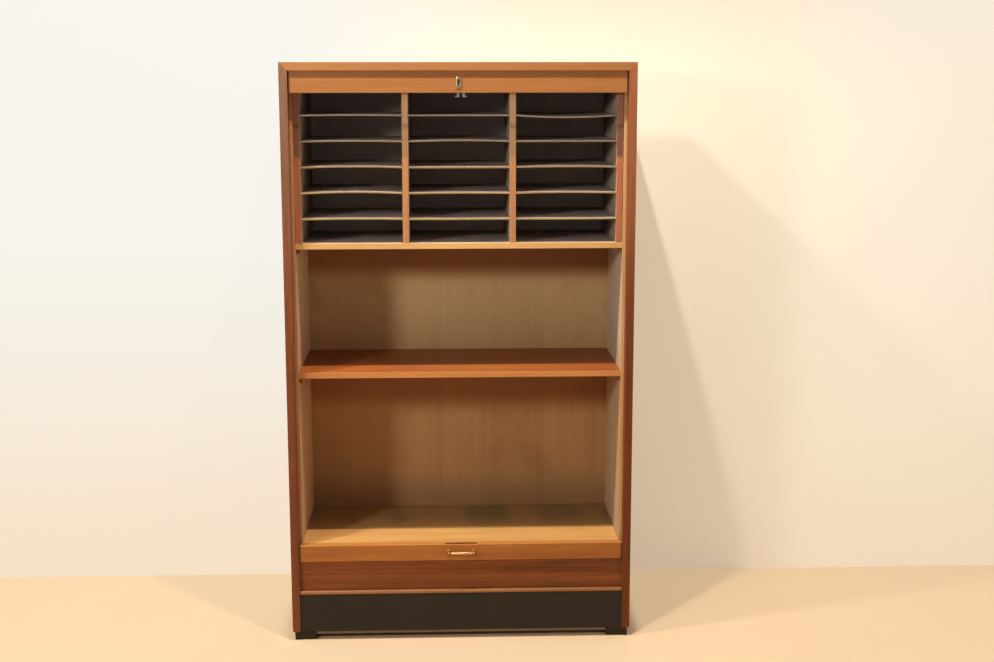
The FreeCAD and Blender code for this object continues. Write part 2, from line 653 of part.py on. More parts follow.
def lock_rail():
    """Fixed rail under the top, with the lock's pocket and keyhole."""
    rail = rail_with_tongues(LOCK_RAIL_RECESS, LOCK_RAIL_BACK_D, LOCK_RAIL_Z, TOP_Z)
    half = LOCK_CASE_W / 2 + LOCK_FIT
    case_z = LOCK_RAIL_Z + FOREND_T
    front = LOCK_CASE_D - LOCK_FIT
    pocket = block(-half, half, front, LOCK_RAIL_BACK_D, case_z, case_z + LOCK_CASE_H + LOCK_FIT)
    forend_half = FOREND_L / 2 + LOCK_FIT
    recess = block(-forend_half, forend_half, front, LOCK_RAIL_BACK_D, LOCK_RAIL_Z, case_z)
    keyhole = slot_solid(KEYHOLE_W, KEYHOLE_H, LOCK_RAIL_RECESS, LOCK_RAIL_T / 2, KEY_Z)
    holes = forend_screw_shapes(screw_hole) + escutcheon_pin_shapes(ESCUTCHEON_PIN_R + PIN_FIT)
    return {"lock_rail": rail.cut([pocket, recess, keyhole] + holes)}


def escutcheon():
    """Oval plate round the keyhole, with a rounded rim and two pins into the lock rail."""
    front = LOCK_RAIL_RECESS - ESCUTCHEON_T
    plate = slot_solid(ESCUTCHEON_W, ESCUTCHEON_H, front, ESCUTCHEON_T, KEY_Z)
    rim = [edge for edge in plate.Edges if all(abs(v.Y - FRONT_Y - front) < TOUCH for v in edge.Vertexes)]
    plate = plate.makeFillet(ESCUTCHEON_ROUND, rim)
    plate = plate.cut(slot_solid(KEYHOLE_W, KEYHOLE_H, front, ESCUTCHEON_T, KEY_Z))
    return {"escutcheon": plate.fuse(escutcheon_pin_shapes(ESCUTCHEON_PIN_R)).removeSplitter()}


def jaw(shift):
    """Right jaw: a hook below the rail, shifted sideways, a boss on its pivot and a tail beside the cam."""
    low = LOCK_RAIL_Z - JAW_REACH
    hook_top = low + JAW_HOOK_T
    pivot_z = LOCK_RAIL_Z + JAW_PIVOT_RISE
    inner = JAW_INNER_X + shift
    outer = JAW_OUTER_X + shift
    tip = JAW_HOOK_X + shift
    outline = [
        at(inner, JAW_D, low),
        at(tip - JAW_HOOK_T, JAW_D, low),
        at(tip, JAW_D, hook_top - JAW_HOOK_T / 2),
        at(tip, JAW_D, hook_top),
        at(outer, JAW_D, hook_top),
        at(outer, JAW_D, LOCK_RAIL_Z),
        at(JAW_OUTER_X, JAW_D, pivot_z),
        at(JAW_INNER_X, JAW_D, pivot_z),
        at(inner, JAW_D, LOCK_RAIL_Z),
    ]
    shank = prism(outline, BACKWARDS * JAW_T)
    pivot = at(JAW_PIVOT_X, JAW_D, pivot_z)
    boss = rod(JAW_BOSS_R, JAW_T, pivot, BACKWARDS)
    tail = block(JAW_TAIL_X, JAW_TAIL_X + JAW_TAIL_W, JAW_D, JAW_D + JAW_T, pivot_z, pivot_z + JAW_TAIL_RISE)
    whole = shank.fuse([boss, tail]).removeSplitter()
    return whole.cut(rod(JAW_PIVOT_R + RUNNING_FIT, JAW_T, pivot, BACKWARDS))


def tumbler():
    """Key-turned disc with the flat cam that holds the jaws' tails apart, and its bearing stub."""
    disc_d = JAW_D + JAW_T + TUMBLER_GAP
    cam = block(-CAM_L / 2, CAM_L / 2, JAW_D, disc_d, KEY_Z - CAM_T / 2, KEY_Z + CAM_T / 2)
    disc = rod(TUMBLER_R, TUMBLER_T, at(0, disc_d, KEY_Z), BACKWARDS)
    stub = rod(TUMBLER_STUB_R, LOCK_RAIL_BACK_D - disc_d, at(0, disc_d, KEY_Z), BACKWARDS)
    return cam.fuse([disc, stub]).removeSplitter()


def jaw_lock():
    """Lock case with its forend and pivots, its cover and screws, the two jaws and the tumbler."""
    half = LOCK_CASE_W / 2
    z0 = LOCK_RAIL_Z + FOREND_T
    z1 = z0 + LOCK_CASE_H
    inner = half - LOCK_WALL
    shell = block(-half, half, LOCK_CASE_D, LOCK_COVER_D, z0, z1)
    room = block(-inner, inner, LOCK_CASE_D + LOCK_WALL, LOCK_COVER_D, z0, z1 - LOCK_WALL)
    keyhole = slot_solid(KEYHOLE_W, KEYHOLE_H, LOCK_CASE_D, LOCK_WALL, KEY_Z)
    pins = []
    for x in (-JAW_PIVOT_X, JAW_PIVOT_X):
        foot = at(x, LOCK_CASE_D, LOCK_RAIL_Z + JAW_PIVOT_RISE)
        pins.append(rod(JAW_PIVOT_R, LOCK_COVER_D - LOCK_CASE_D, foot, BACKWARDS))
    cover = block(-half, half, LOCK_COVER_D, LOCK_RAIL_BACK_D, z0, z1)
    bearing = rod(TUMBLER_STUB_R + RUNNING_FIT, LOCK_WALL, at(0, LOCK_COVER_D, KEY_Z), BACKWARDS)
    forend = block(-FOREND_L / 2, FOREND_L / 2, LOCK_CASE_D, LOCK_RAIL_BACK_D, LOCK_RAIL_Z, z0)
    forend = forend.cut([jaw_slot(LOCK_RAIL_Z, z0)] + forend_screw_shapes(screw_hole))
    return {
        "lock_case": shell.cut([room, keyhole]).fuse(pins + [forend]).removeSplitter(),
        "lock_cover": cover.cut(bearing),
        "lock_screws": Part.makeCompound(forend_screw_shapes(screw)),
        "jaw_left": mirrored(jaw(-JAW_SHIFT)),
        "jaw_right": jaw(JAW_SHIFT),
        "lock_tumbler": tumbler(),
    }


def strike_screw_shapes(make):
    """Two screws, or holes, through the strike plate into the lead rail."""
    x = STRIKE_L / 2 - STRIKE_SCREW_INSET
    return [make(at(side * x, JAW_MID_D, LEAD_TOP_Z), -UP, SCREW_R, SCREW_HEAD_R, SCREW_HEAD_T, SCREW_L)
            for side in (-1, 1)]


def handle_screw_shapes(make):
    """Two screws, or holes, from behind the lead rail into the handle's posts."""
    back = RAIL_RECESS + LEAD_RAIL_T
    return [make(at(side * HANDLE_SPAN / 2, back, HANDLE_Z), -BACKWARDS, HANDLE_SCREW_R, HANDLE_SCREW_HEAD_R,
                 HANDLE_SCREW_HEAD_T, LEAD_RAIL_T + HANDLE_SCREW_GRIP) for side in (-1, 1)]


def pull_handle():
    """Brass bar between two turned posts, each with a rose on the lead rail."""
    posts = []
    for side in (-1, 1):
        foot = at(side * HANDLE_SPAN / 2, RAIL_RECESS, HANDLE_Z)
        rose = rod(HANDLE_ROSE_R, HANDLE_ROSE_T, foot, -BACKWARDS)
        outer = [edge for edge in rose.Edges if all(v.Y < foot.y - HANDLE_ROSE_T / 2 for v in edge.Vertexes)]
        rose = rose.makeFillet(HANDLE_ROSE_T / 2, outer)
        stem = rod(HANDLE_POST_R, HANDLE_STANDOFF, foot, -BACKWARDS)
        head = Part.makeSphere(HANDLE_HEAD_R, foot - BACKWARDS * HANDLE_STANDOFF)
        posts.append(rose.fuse([stem, head]).removeSplitter())
    start = at(-HANDLE_SPAN / 2, RAIL_RECESS - HANDLE_STANDOFF, HANDLE_Z)
    bar = rod(HANDLE_BAR_R, HANDLE_SPAN, start, SIDEWAYS).cut(posts)
    holes = handle_screw_shapes(screw_hole)
    return {
        "handle_bar": bar,
        "handle_posts": Part.makeCompound([post.cut(holes) for post in posts]),
        "handle_screws": Part.makeCompound(handle_screw_shapes(screw)),
    }


def lead_rail():
    """Rail that leads the shutter, with the strike plate let into its top edge."""
    rail = rail_with_tongues(RAIL_RECESS, RAIL_RECESS + LEAD_RAIL_T, LEAD_RAIL_Z, LEAD_TOP_Z)
    front = JAW_MID_D - STRIKE_W / 2
    plate_z = LEAD_TOP_Z - STRIKE_T
    plate = block(-STRIKE_L / 2, STRIKE_L / 2, front, front + STRIKE_W, plate_z, LEAD_TOP_Z)
    half_w = JAW_SLOT_W / 2 + STRIKE_POCKET_CLEAR
    half_l = STRIKE_POCKET_L / 2
    pocket = block(JAW_SHIFT - half_l, JAW_SHIFT + half_l, JAW_MID_D - half_w, JAW_MID_D + half_w,
                   plate_z - STRIKE_POCKET_DEPTH, plate_z)
    holes = strike_screw_shapes(screw_hole)
    return {
        "lead_rail": rail.cut([plate, pocket] + holes + handle_screw_shapes(screw_hole)),
        "strike_plate": plate.cut([jaw_slot(plate_z, LEAD_TOP_Z)] + holes),
        "strike_screws": Part.makeCompound(strike_screw_shapes(screw)),
    }


def shutter():
    """Slats and canvas in the front run, the feed slat under them, and the stored rest of the shutter."""
    front = []
    for index in range(FRONT_SLATS):
        front.append(slat(FRONT_RUN_D, FEED_TOP_Z + (index + 0.5) * SLAT_PITCH))
    feed = [slat(FRONT_RUN_D, BEND_Z + SLAT_PITCH / 2), canvas_band(FRONT_RUN_D, BEND_Z, FEED_TOP_Z)]
    stored = []
    for index in range(STORED_SLATS):
        depth, z, turn = track_pose((index + 0.5) * SLAT_PITCH)
        piece = slat(depth, z)
        piece.rotate(at(0, depth, z), SIDEWAYS, turn)
        stored.append(piece)
    canvas_half = SIDE_IN_X - CANVAS_EDGE
    canvas_in = GROOVE_W / 2 - GROOVE_CLEAR
    canvas = track_strip(canvas_in, CANVAS_T - canvas_in, BEND_Z, STORE_TOP_Z, -canvas_half, canvas_half)
    stop_front = GROOVE_SETBACK + GROOVE_W + STOP_GAP
    stop = block(SIDE_IN_X - STOP_W, SIDE_IN_X, stop_front, LINER_FRONT_D, LEAD_RAIL_Z - STOP_H, LEAD_RAIL_Z)
    return {
        "front_slats": Part.makeCompound(front),
        "front_canvas": canvas_band(FRONT_RUN_D, FEED_TOP_Z, LEAD_RAIL_Z),
        "feed_slat": Part.makeCompound(feed),
        "stored_slats": Part.makeCompound(stored),
        "stored_canvas": canvas,
        "shutter_stops": Part.makeCompound([stop, mirrored(stop)]),
    }


def main():
    """Builds every piece and writes each to its own file."""
    os.makedirs("parts", exist_ok=True)
    builders = (side_panels, top_panel, backs, inner_sides, shelves_and_floor, shelf_pegs, base, pigeonholes,
                lock_rail, escutcheon, jaw_lock, lead_rail, pull_handle, shutter)
    for builder in builders:
        for name, shape in builder().items():
            if not shape.isValid():
                raise ValueError(name + " is not a valid shape")
            shape.exportStep(f"parts/{name}.step")


main()
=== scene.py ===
"""Dresses the roll-front filing cabinet: eased boards, bowed letter shelves, slats, metalwork and studio."""
from __future__ import annotations

import json
import logging
import math
from dataclasses import dataclass, replace
from enum import Enum
from functools import lru_cache
from typing import Any, Iterable, Sequence, Union

import bmesh
import bpy
from bmesh.types import BMEdge, BMesh, BMFace
from bpy.types import ID, Material, NodeSocket, Object
from mathutils import Matrix, Vector

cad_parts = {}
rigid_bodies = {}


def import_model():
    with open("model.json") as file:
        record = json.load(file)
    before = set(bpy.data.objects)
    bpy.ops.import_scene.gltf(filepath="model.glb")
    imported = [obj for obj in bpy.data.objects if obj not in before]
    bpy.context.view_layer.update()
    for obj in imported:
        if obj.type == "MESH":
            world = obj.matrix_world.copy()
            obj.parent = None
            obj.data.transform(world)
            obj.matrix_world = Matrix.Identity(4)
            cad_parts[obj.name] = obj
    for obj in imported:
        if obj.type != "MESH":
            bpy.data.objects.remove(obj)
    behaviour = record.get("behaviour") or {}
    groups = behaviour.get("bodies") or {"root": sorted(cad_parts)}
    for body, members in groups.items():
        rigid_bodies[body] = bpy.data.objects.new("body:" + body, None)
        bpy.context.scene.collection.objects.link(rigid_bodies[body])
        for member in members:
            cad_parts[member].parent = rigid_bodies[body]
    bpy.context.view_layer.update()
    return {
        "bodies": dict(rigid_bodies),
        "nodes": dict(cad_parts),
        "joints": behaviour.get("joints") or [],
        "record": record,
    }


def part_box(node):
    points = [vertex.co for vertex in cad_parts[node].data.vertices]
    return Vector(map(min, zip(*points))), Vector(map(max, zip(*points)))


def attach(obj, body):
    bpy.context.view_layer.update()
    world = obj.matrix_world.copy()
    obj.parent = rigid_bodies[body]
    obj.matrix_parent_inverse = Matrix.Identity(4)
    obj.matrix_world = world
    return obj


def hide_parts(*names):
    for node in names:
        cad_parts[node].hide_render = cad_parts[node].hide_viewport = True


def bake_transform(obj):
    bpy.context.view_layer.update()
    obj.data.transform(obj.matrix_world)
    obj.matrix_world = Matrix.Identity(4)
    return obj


LOG = logging.getLogger("cabinet")
MM = 0.001
MERGE = 0.01 * MM
FLAT = math.radians(0.5)
SQUARE_ON = 0.7
FORWARDS = 0.3
WEAR = "wear"
Colour = tuple[float, float, float]
Triple = tuple[float, float, float]
Span = tuple[float, float]


def srgb(red: int, green: int, blue: int) -> Colour:
    """Turns a display colour into light.

    Args:
        red: level from 0 to 255.
        green: level from 0 to 255.
        blue: level from 0 to 255.

    Returns:
        The linear colour.
    """
    def linear(level: int) -> float:
        """Returns one level as light."""
        share = level / 255
        return share / 12.92 if share <= 0.04045 else ((share + 0.055) / 1.055) ** 2.4
    return linear(red), linear(green), linear(blue)


def scaled(colour: Colour, share: float) -> Colour:
    """Returns a colour with each of its levels times a share."""
    return share * colour[0], share * colour[1], share * colour[2]


class Value:
    """A node's output socket, whose arithmetic adds Math nodes to the same tree."""

    def __init__(self, shader: Shader, socket: NodeSocket | None) -> None:
        """Keeps the socket and the tree that it belongs to."""
        self.shader = shader
        self.socket = socket

    def _math(self, operation: str, left: Operand, right: Operand = 0.0) -> Value:
        """Returns the result of one Math node."""
        return self.shader.node("Math", {"operation": operation}, {0: left, 1: right})

    def __add__(self, other: Operand) -> Value:
        """Returns self + other."""
        return self._math("ADD", self, other)

    __radd__ = __add__

    def __sub__(self, other: Operand) -> Value:
        """Returns self - other."""
        return self._math("SUBTRACT", self, other)

    def __rsub__(self, other: Operand) -> Value:
        """Returns other - self."""
        return self._math("SUBTRACT", other, self)

    def __mul__(self, other: Operand) -> Value:
        """Returns self * other."""
        return self._math("MULTIPLY", self, other)

    __rmul__ = __mul__

    def floor(self) -> Value:
        """Returns the whole number below."""
        return self._math("FLOOR", self)

    def fraction(self) -> Value:
        """Returns what is left above the whole number."""
        return self._math("FRACT", self)

    def sine(self) -> Value:
        """Returns the sine of an angle in radians."""
        return self._math("SINE", self)

    def ramp(self, low: float, high: float) -> Value:
        """Returns a smooth step from 0 at low to 1 at high; high may lie under low."""
        return self.shader.node("MapRange", {"interpolation_type": "SMOOTHSTEP"},
                                {"Value": self, "From Min": low, "From Max": high})


Operand = Union[Value, float, int, tuple]


class Grain(Enum):
    """Direction of a board's grain."""

    ALONG_X = (1, 0, 0)
    ALONG_Z = (0, 0, 1)

    def turn(self, stretch: Triple) -> Triple:
        """Returns waves along X, Y and Z for a stretch that is given along and across the grain."""
        return tuple(stretch[0] if part else stretch[1] for part in self.value)


@dataclass(frozen=True)
class Waves:
    """Noise by its waves per metre along X, Y and Z, or along the grain and twice across it.

    Detail counts its octaves, rough is the strength of the finer ones, and warp is how much it is bent
    by itself. Its patches start and end at the levels of span.
    """

    stretch: Triple
    detail: float = 3.0
    rough: float = 0.55
    warp: float = 0.0
    span: Span = (0.0, 1.0)


class Shader:
    """The node tree of one material."""

    def __init__(self, name: str) -> None:
        """Makes an empty material.

        Args:
            name: the material's name.
        """
        self.material = bpy.data.materials.new(name)
        self.material.use_nodes = True
        self.tree = self.material.node_tree
        self.tree.nodes.clear()

    def node(self, kind: str, settings: dict[str, Any] | None = None,
             inputs: dict[Union[str, int], Operand] | None = None, output: Union[str, int] = 0) -> Value:
        """Adds one node.

        Args:
            kind: the node's type, without the word that all shader nodes start with.
            settings: properties, set before the sockets.
            inputs: a value or a link for each named or numbered socket.
            output: which output to return.

        Returns:
            The chosen output.
        """
        made = self.tree.nodes.new("ShaderNode" + kind)
        for key, setting in (settings or {}).items():
            setattr(made, key, setting)
        for key, operand in (inputs or {}).items():
            if isinstance(operand, Value):
                self.tree.links.new(operand.socket, made.inputs[key])
            else:
                made.inputs[key].default_value = operand
        return Value(self, made.outputs[output] if made.outputs else None)

    def place(self, shift: Triple = (0.0, 0.0, 0.0)) -> Value:
        """Returns the point on the piece in metres, moved by shift so that boards differ."""
        point = self.node("TexCoord", output="Object")
        return self.node("VectorMath", {"operation": "ADD"}, {0: point, 1: shift})

    def axis(self, letter: str) -> Value:
        """Returns one component of the point on the piece."""
        return self.node("SeparateXYZ", inputs={0: self.place()}, output=letter)

    def noise(self, place: Value, waves: Waves, grain: Grain = Grain.ALONG_X) -> Value:
        """Adds noise.

        Args:
            place: point to read.
            waves: the noise's measures.
            grain: where other than along X, the direction that the waves are turned to.

        Returns:
            A level around 0.5.
        """
        stretch = waves.stretch if grain is Grain.ALONG_X else grain.turn(waves.stretch)
        point = self.node("VectorMath", {"operation": "MULTIPLY"}, {0: place, 1: stretch})
        return self.node("TexNoise", inputs={
            "Vector": point, "Scale": 1.0, "Detail": waves.detail, "Roughness": waves.rough,
            "Distortion": waves.warp})

    def patches(self, place: Value, waves: Waves, grain: Grain = Grain.ALONG_X) -> Value:
        """Returns noise as soft-edged patches of 1 on 0, by the waves' span."""
        return self.noise(place, waves, grain).ramp(*waves.span)

    def mix(self, share: Operand, first: Operand, second: Operand) -> Value:
        """Returns a colour between two, by the share of the second."""
        first, second = (part if isinstance(part, Value) else (*part, 1.0) for part in (first, second))
        return self.node("Mix", {"data_type": "RGBA", "blend_type": "MIX", "clamp_factor": True},
                         {0: share, 6: first, 7: second}, output=2)

    def blend(self, share: Operand, first: Value, second: Value) -> Value:
        """Returns a shader between two, by share."""
        return self.node("MixShader", inputs={0: share, 1: first, 2: second})

    def wear(self) -> Value:
        """Returns the piece's own edge mark: 1 on eased edges, 0 elsewhere."""
        return self.node("Attribute", {"attribute_name": WEAR}, output="Fac")

    def bump(self, height: Value, strength: float, distance: float) -> Value:
        """Returns a normal roughened by a height."""
        return self.node("Bump", inputs={
            "Strength": strength, "Distance": distance, "Height": height})

    def surface(self, links: dict[str, Operand], **constants: Operand) -> Material:
        """Closes the tree with a Principled shader.

        Args:
            links: sockets that change over the surface.
            **constants: sockets with one value, named with underscores for spaces.

        Returns:
            The finished material.
        """
        even = {key.replace("_", " "): level for key, level in constants.items()}
        return self.close(self.node("BsdfPrincipled", inputs={**even, **links}))

    def close(self, shaded: Value) -> Material:
        """Links a shader to the output and returns the finished material."""
        self.node("OutputMaterial", inputs={"Surface": shaded})
        return self.material


@dataclass(frozen=True)
class Band:
    """A level stretch of a board that has another colour, by its heights above the floor in metres."""

    low: float
    high: float
    fade_low: float
    fade_high: float
    colour: Colour
    share: float = 1.0

    def reach(self, height: Value) -> Value:
        """Returns 1 inside the band and 0 beyond its faded ends, times its share."""
        rise = height.ramp(self.low - self.fade_low, self.low)
        return rise * height.ramp(self.high + self.fade_high, self.high) * self.share


@dataclass(frozen=True)
class Wood:
    """A board's wood, oiled or raw, with streaks, fibres and pores along the grain.

    Here and in the other finishes, uneven says how much the roughness follows each pattern, and relief
    gives the strength and the depth of the bump.
    """

    name: str
    light: Colour
    dark: Colour
    grain: Grain = Grain.ALONG_X
    contrast: float = 1.0
    roughness: float = 0.42
    coat: float = 0.0
    worn: Colour = (0.55, 0.33, 0.16)
    wear: float = 0.55
    stain: float = 0.25
    fibre: float = 0.25
    leaf: float = 0.0
    # Another tone for the board above a given height.
    upper_tone: Colour | None = None
    upper_span: Span = (1.05, 1.7)
    # Darkening towards the rear, broken into streaks: painted shade.
    rear_shade: float = 0.0
    rear_shade_span: Span = (-0.12, 0.1)
    rear_shade_colour: Colour = (0.16, 0.12, 0.06)
    bands: tuple[Band, ...] = ()
    shift: Triple = (0.0, 0.0, 0.0)
    drifts: Waves = Waves((0.8, 5.0, 5.0), 2.0)
    streaks: Waves = Waves((1.5, 34.0, 34.0), 6.0, 0.62, 0.35)
    fibres: Waves = Waves((7.0, 380.0, 380.0), 3.0, 0.6, span=(0.56, 0.30))
    pores: Waves = Waves((38.0, 1300.0, 1300.0), 1.0, span=(0.66, 0.74))
    blotches: Waves = Waves((3.2, 3.2, 3.2), 4.0, 0.6, span=(0.52, 0.75))
    trails: Waves = Waves((9.0, 2.2, 2.2), 3.0, 0.6, span=(0.42, 0.66))
    rubs: Waves = Waves((46.0, 46.0, 46.0), span=(0.36, 0.62))
    streak_share: float = 0.62
    tone_gain: float = 2.4
    upper_gain: float = 1.2
    deepest: float = 0.55
    pore_share: float = 0.5
    least_trail: float = 0.6
    leaf_change: float = 0.16
    joint_depth: float = 0.3
    joint_span: Span = (0.012, 0.004)
    uneven: Triple = (0.22, 0.15, 0.1)
    coat_roughness: float = 0.3
    gloss: float = 0.25
    relief_fibre: float = 0.7
    relief: Span = (0.16, 0.0007)

    def build(self) -> Material:
        """Lays the wood up, from its two tones to its rubbed edges.

        Returns:
            The material.
        """
        shader = Shader(self.name)
        place = shader.place(self.shift)
        deep = scaled(self.dark, self.deepest)
        drift = shader.noise(place, self.drifts, self.grain)
        streak = shader.noise(place, self.streaks, self.grain)
        fibre = shader.noise(place, self.fibres, self.grain)
        pore = shader.patches(place, self.pores, self.grain)
        tone = streak * self.streak_share + drift * (1 - self.streak_share) - 0.5
        tone = tone * (self.tone_gain * self.contrast) + 0.5
        if self.leaf:
            tone = tone + self._leaf_tone(shader, place)
        tone = tone.ramp(0.0, 1.0)
        colour = shader.mix(tone, self.dark, self.light)
        # Another tone above a given height.
        if self.upper_tone:
            upper_mix = shader.mix(tone, self.upper_tone, scaled(self.upper_tone, self.upper_gain))
            colour = shader.mix(shader.axis("Z").ramp(*self.upper_span), colour, upper_mix)
        # Bands of another colour: painted shade under the lock rail and the shelves, and a darker band above
        # the floor.
        for band in self.bands:
            colour = shader.mix(band.reach(shader.axis("Z")), colour, band.colour)
        colour = shader.mix(fibre.ramp(*self.fibres.span) * self.fibre, colour, deep)
        colour = shader.mix(pore * self.pore_share, colour, deep)
        colour = shader.mix(shader.patches(place, self.blotches) * self.stain, colour, deep)
        # Painted shade towards the rear of the board, broken into streaks.
        if self.rear_shade:
            trail = shader.patches(place, self.trails) * (1.0 - self.least_trail) + self.least_trail
            rear = shader.axis("Y").ramp(*self.rear_shade_span)
            colour = shader.mix(trail * rear * self.rear_shade, colour, self.rear_shade_colour)
        rubbed = shader.wear() * shader.patches(place, self.rubs)
        colour = shader.mix(rubbed * self.wear, colour, self.worn)
        by_streak, by_pore, by_rub = self.uneven
        return shader.surface({
            "Base Color": colour,
            "Roughness": self.roughness + (streak - 0.5) * by_streak + pore * by_pore + rubbed * by_rub,
            "Normal": shader.bump(fibre * self.relief_fibre + (1.0 - pore) * self.pore_share, *self.relief),
        }, Coat_Weight=self.coat, Coat_Roughness=self.coat_roughness, Specular_IOR_Level=self.gloss)

    def _leaf_tone(self, shader: Shader, place: Value) -> Value:
        """Tells one veneer leaf from the next.

        Args:
            shader: tree to add to.
            place: point on the board.

        Returns:
            A change of tone for each leaf, with a dark joint between them.
        """
        letter = "Z" if self.grain is Grain.ALONG_X else "X"
        across = shader.node("SeparateXYZ", inputs={0: place}, output=letter) * (1 / self.leaf)
        sheet = shader.node("TexWhiteNoise", {"noise_dimensions": "1D"}, {"W": across.floor()})
        joint = across.fraction().ramp(*self.joint_span)
        return (sheet - 0.5) * self.leaf_change - joint * self.joint_depth


@dataclass(frozen=True)
class Paint:
    """Old brushed paint with mottling, and rubbed edges that show what is under it."""

    name: str
    colour: Colour
    upper_mix: Colour
    under: Colour
    roughness: float = 0.7
    wear: float = 0.4
    scuff: float = 0.2
    mottles: Waves = Waves((9.0, 9.0, 9.0), 5.0, 0.6, span=(0.35, 0.7))
    strokes: Waves = Waves((4.0, 60.0, 120.0))
    scratches: Waves = Waves((14.0, 90.0, 260.0), 2.0, span=(0.67, 0.74))
    rubs: Waves = Waves((70.0, 70.0, 70.0), span=(0.38, 0.6))
    mottle_share: float = 0.7
    stroke_relief: float = 0.6
    uneven: Span = (0.3, 0.1)
    gloss: float = 0.35
    relief: Span = (0.12, 0.0006)

    def build(self) -> Material:
        """Lays the paint up.

        Returns:
            The material.
        """
        shader = Shader(self.name)
        place = shader.place()
        mottle = shader.noise(place, self.mottles)
        stroke = shader.noise(place, self.strokes)
        fade = mottle * self.mottle_share + stroke * (1 - self.mottle_share)
        colour = shader.mix(fade.ramp(*self.mottles.span), self.colour, self.upper_mix)
        colour = shader.mix(shader.patches(place, self.scratches) * self.scuff, colour, self.under)
        rubbed = shader.wear() * shader.patches(place, self.rubs)
        colour = shader.mix(rubbed * self.wear, colour, self.under)
        height = stroke * self.stroke_relief + mottle * (1 - self.stroke_relief)
        return shader.surface({
            "Base Color": colour,
            "Roughness": self.roughness + (mottle - 0.5) * self.uneven[0] - rubbed * self.uneven[1],
            "Normal": shader.bump(height, *self.relief),
        }, Specular_IOR_Level=self.gloss)


@dataclass(frozen=True)
class Metal:
    """Plated or plain metal with tarnish, fine scratches and brighter rubbed edges."""

    name: str
    colour: Colour
    tarnish: Colour
    roughness: float = 0.28
    spread: float = 0.4
    clouds: Waves = Waves((150.0, 150.0, 150.0), 5.0, 0.62, span=(0.62, 0.8))
    scratches: Waves = Waves((260.0, 1900.0, 2600.0), 2.0)
    spread_gain: float = 0.3
    film_share: float = 0.75
    rubbed_share: float = 0.6
    rubbed_gain: float = 1.15
    uneven: Span = (0.22, 0.14)
    relief: Span = (0.05, 0.0002)

    def build(self) -> Material:
        """Lays the metal up.

        Returns:
            The material.
        """
        shader = Shader(self.name)
        place = shader.place()
        least, most = self.clouds.span
        film = shader.noise(place, self.clouds).ramp(least - self.spread_gain * self.spread, most)
        scratch = shader.noise(place, self.scratches)
        colour = shader.mix(film * self.film_share, self.colour, self.tarnish)
        bright = scaled(self.colour, self.rubbed_gain)
        colour = shader.mix(shader.wear() * self.rubbed_share, colour, bright)
        return shader.surface({
            "Base Color": colour,
            "Roughness": self.roughness + film * self.uneven[0] + (scratch - 0.5) * self.uneven[1],
            "Normal": shader.bump(scratch, *self.relief),
        }, Metallic=1.0)


@dataclass(frozen=True)
class Canvas:
    """Plain-woven backing cloth, dusty with age."""

    name: str
    warp_yarn: Colour
    weft_yarn: Colour
    yarns: float = 900.0
    dust: Waves = Waves((6.0, 6.0, 6.0), 4.0, span=(0.45, 0.75))
    dust_share: float = 0.5
    roughness: float = 0.86
    uneven: float = 0.1
    gloss: float = 0.2
    relief: Span = (0.4, 0.0004)

    def build(self) -> Material:
        """Lays the cloth up.

        Returns:
            The material.
        """
        shader = Shader(self.name)
        turn = 2 * math.pi * self.yarns
        weave = (shader.axis("X") * turn).sine() * (shader.axis("Z") * turn).sine() * 0.5 + 0.5
        dust = shader.noise(shader.place(), self.dust)
        colour = shader.mix(weave, self.warp_yarn, self.weft_yarn)
        dusty = scaled(self.weft_yarn, self.dust_share)
        colour = shader.mix(dust.ramp(*self.dust.span) * self.dust_share, colour, dusty)
        return shader.surface({
            "Base Color": colour,
            "Roughness": self.roughness + (dust - 0.5) * self.uneven,
            "Normal": shader.bump(weave, *self.relief),
        }, Specular_IOR_Level=self.gloss)


Finish = Union[Wood, Paint, Metal, Canvas]


@lru_cache(maxsize=None)
def material_of(finish: Finish) -> Material:
    """Returns a finish's material, made once."""
    return finish.build()


def painted_rail_shade(shaded: Colour, above: Colour) -> tuple[Band, ...]:
    """Returns a front edge's painted shade under the lock rail: a darker stretch, and a paler one above it.
    """
    return (Band(low=1.492, high=1.578, fade_low=0.012, fade_high=0.014, colour=shaded, share=0.9),
            Band(low=1.592, high=1.7, fade_low=0.014, fade_high=0.01, colour=above, share=0.9))


TEAK_TOP = Wood(
    "teak_top", srgb(162, 109, 65), srgb(138, 91, 52), contrast=0.6, coat=0.12, worn=srgb(176, 130, 84),
    stain=0.1)
TEAK_RAIL = Wood(
    "teak_rail", srgb(160, 106, 58), srgb(136, 86, 46), contrast=0.5, coat=0.12, worn=srgb(190, 146, 94),
    stain=0.1, shift=(1.7, 0.2, 0.6), fibre=0.2)
LEAD_TOP = Wood(
    "lead_top", srgb(194, 127, 64), srgb(170, 108, 52), contrast=0.7, worn=srgb(214, 152, 88), stain=0.12,
    shift=(1.1, 2.3, 0.5))
TEAK_LEAD = Wood(
    "teak_lead", srgb(168, 104, 43), srgb(133, 74, 28), contrast=0.8, coat=0.1, worn=srgb(196, 138, 78),
    stain=0.14, shift=(4.1, 1.3, 0.2), fibre=0.3)
EDGE_LEFT = Wood(
    "edge_left", srgb(128, 67, 33), srgb(88, 40, 19), Grain.ALONG_Z, coat=0.05, worn=srgb(138, 88, 62),
    stain=0.2, upper_tone=srgb(116, 81, 64), upper_span=(0.8, 1.75), shift=(0.4, 2.2, 0.9), fibre=0.3)
EDGE_RIGHT = Wood(
    "edge_right", srgb(121, 56, 16), srgb(82, 36, 10), Grain.ALONG_Z, coat=0.05, worn=srgb(132, 72, 34),
    stain=0.2, upper_tone=srgb(136, 82, 50), upper_span=(0.75, 1.6), shift=(1.4, 0.2, 2.9), fibre=0.3)
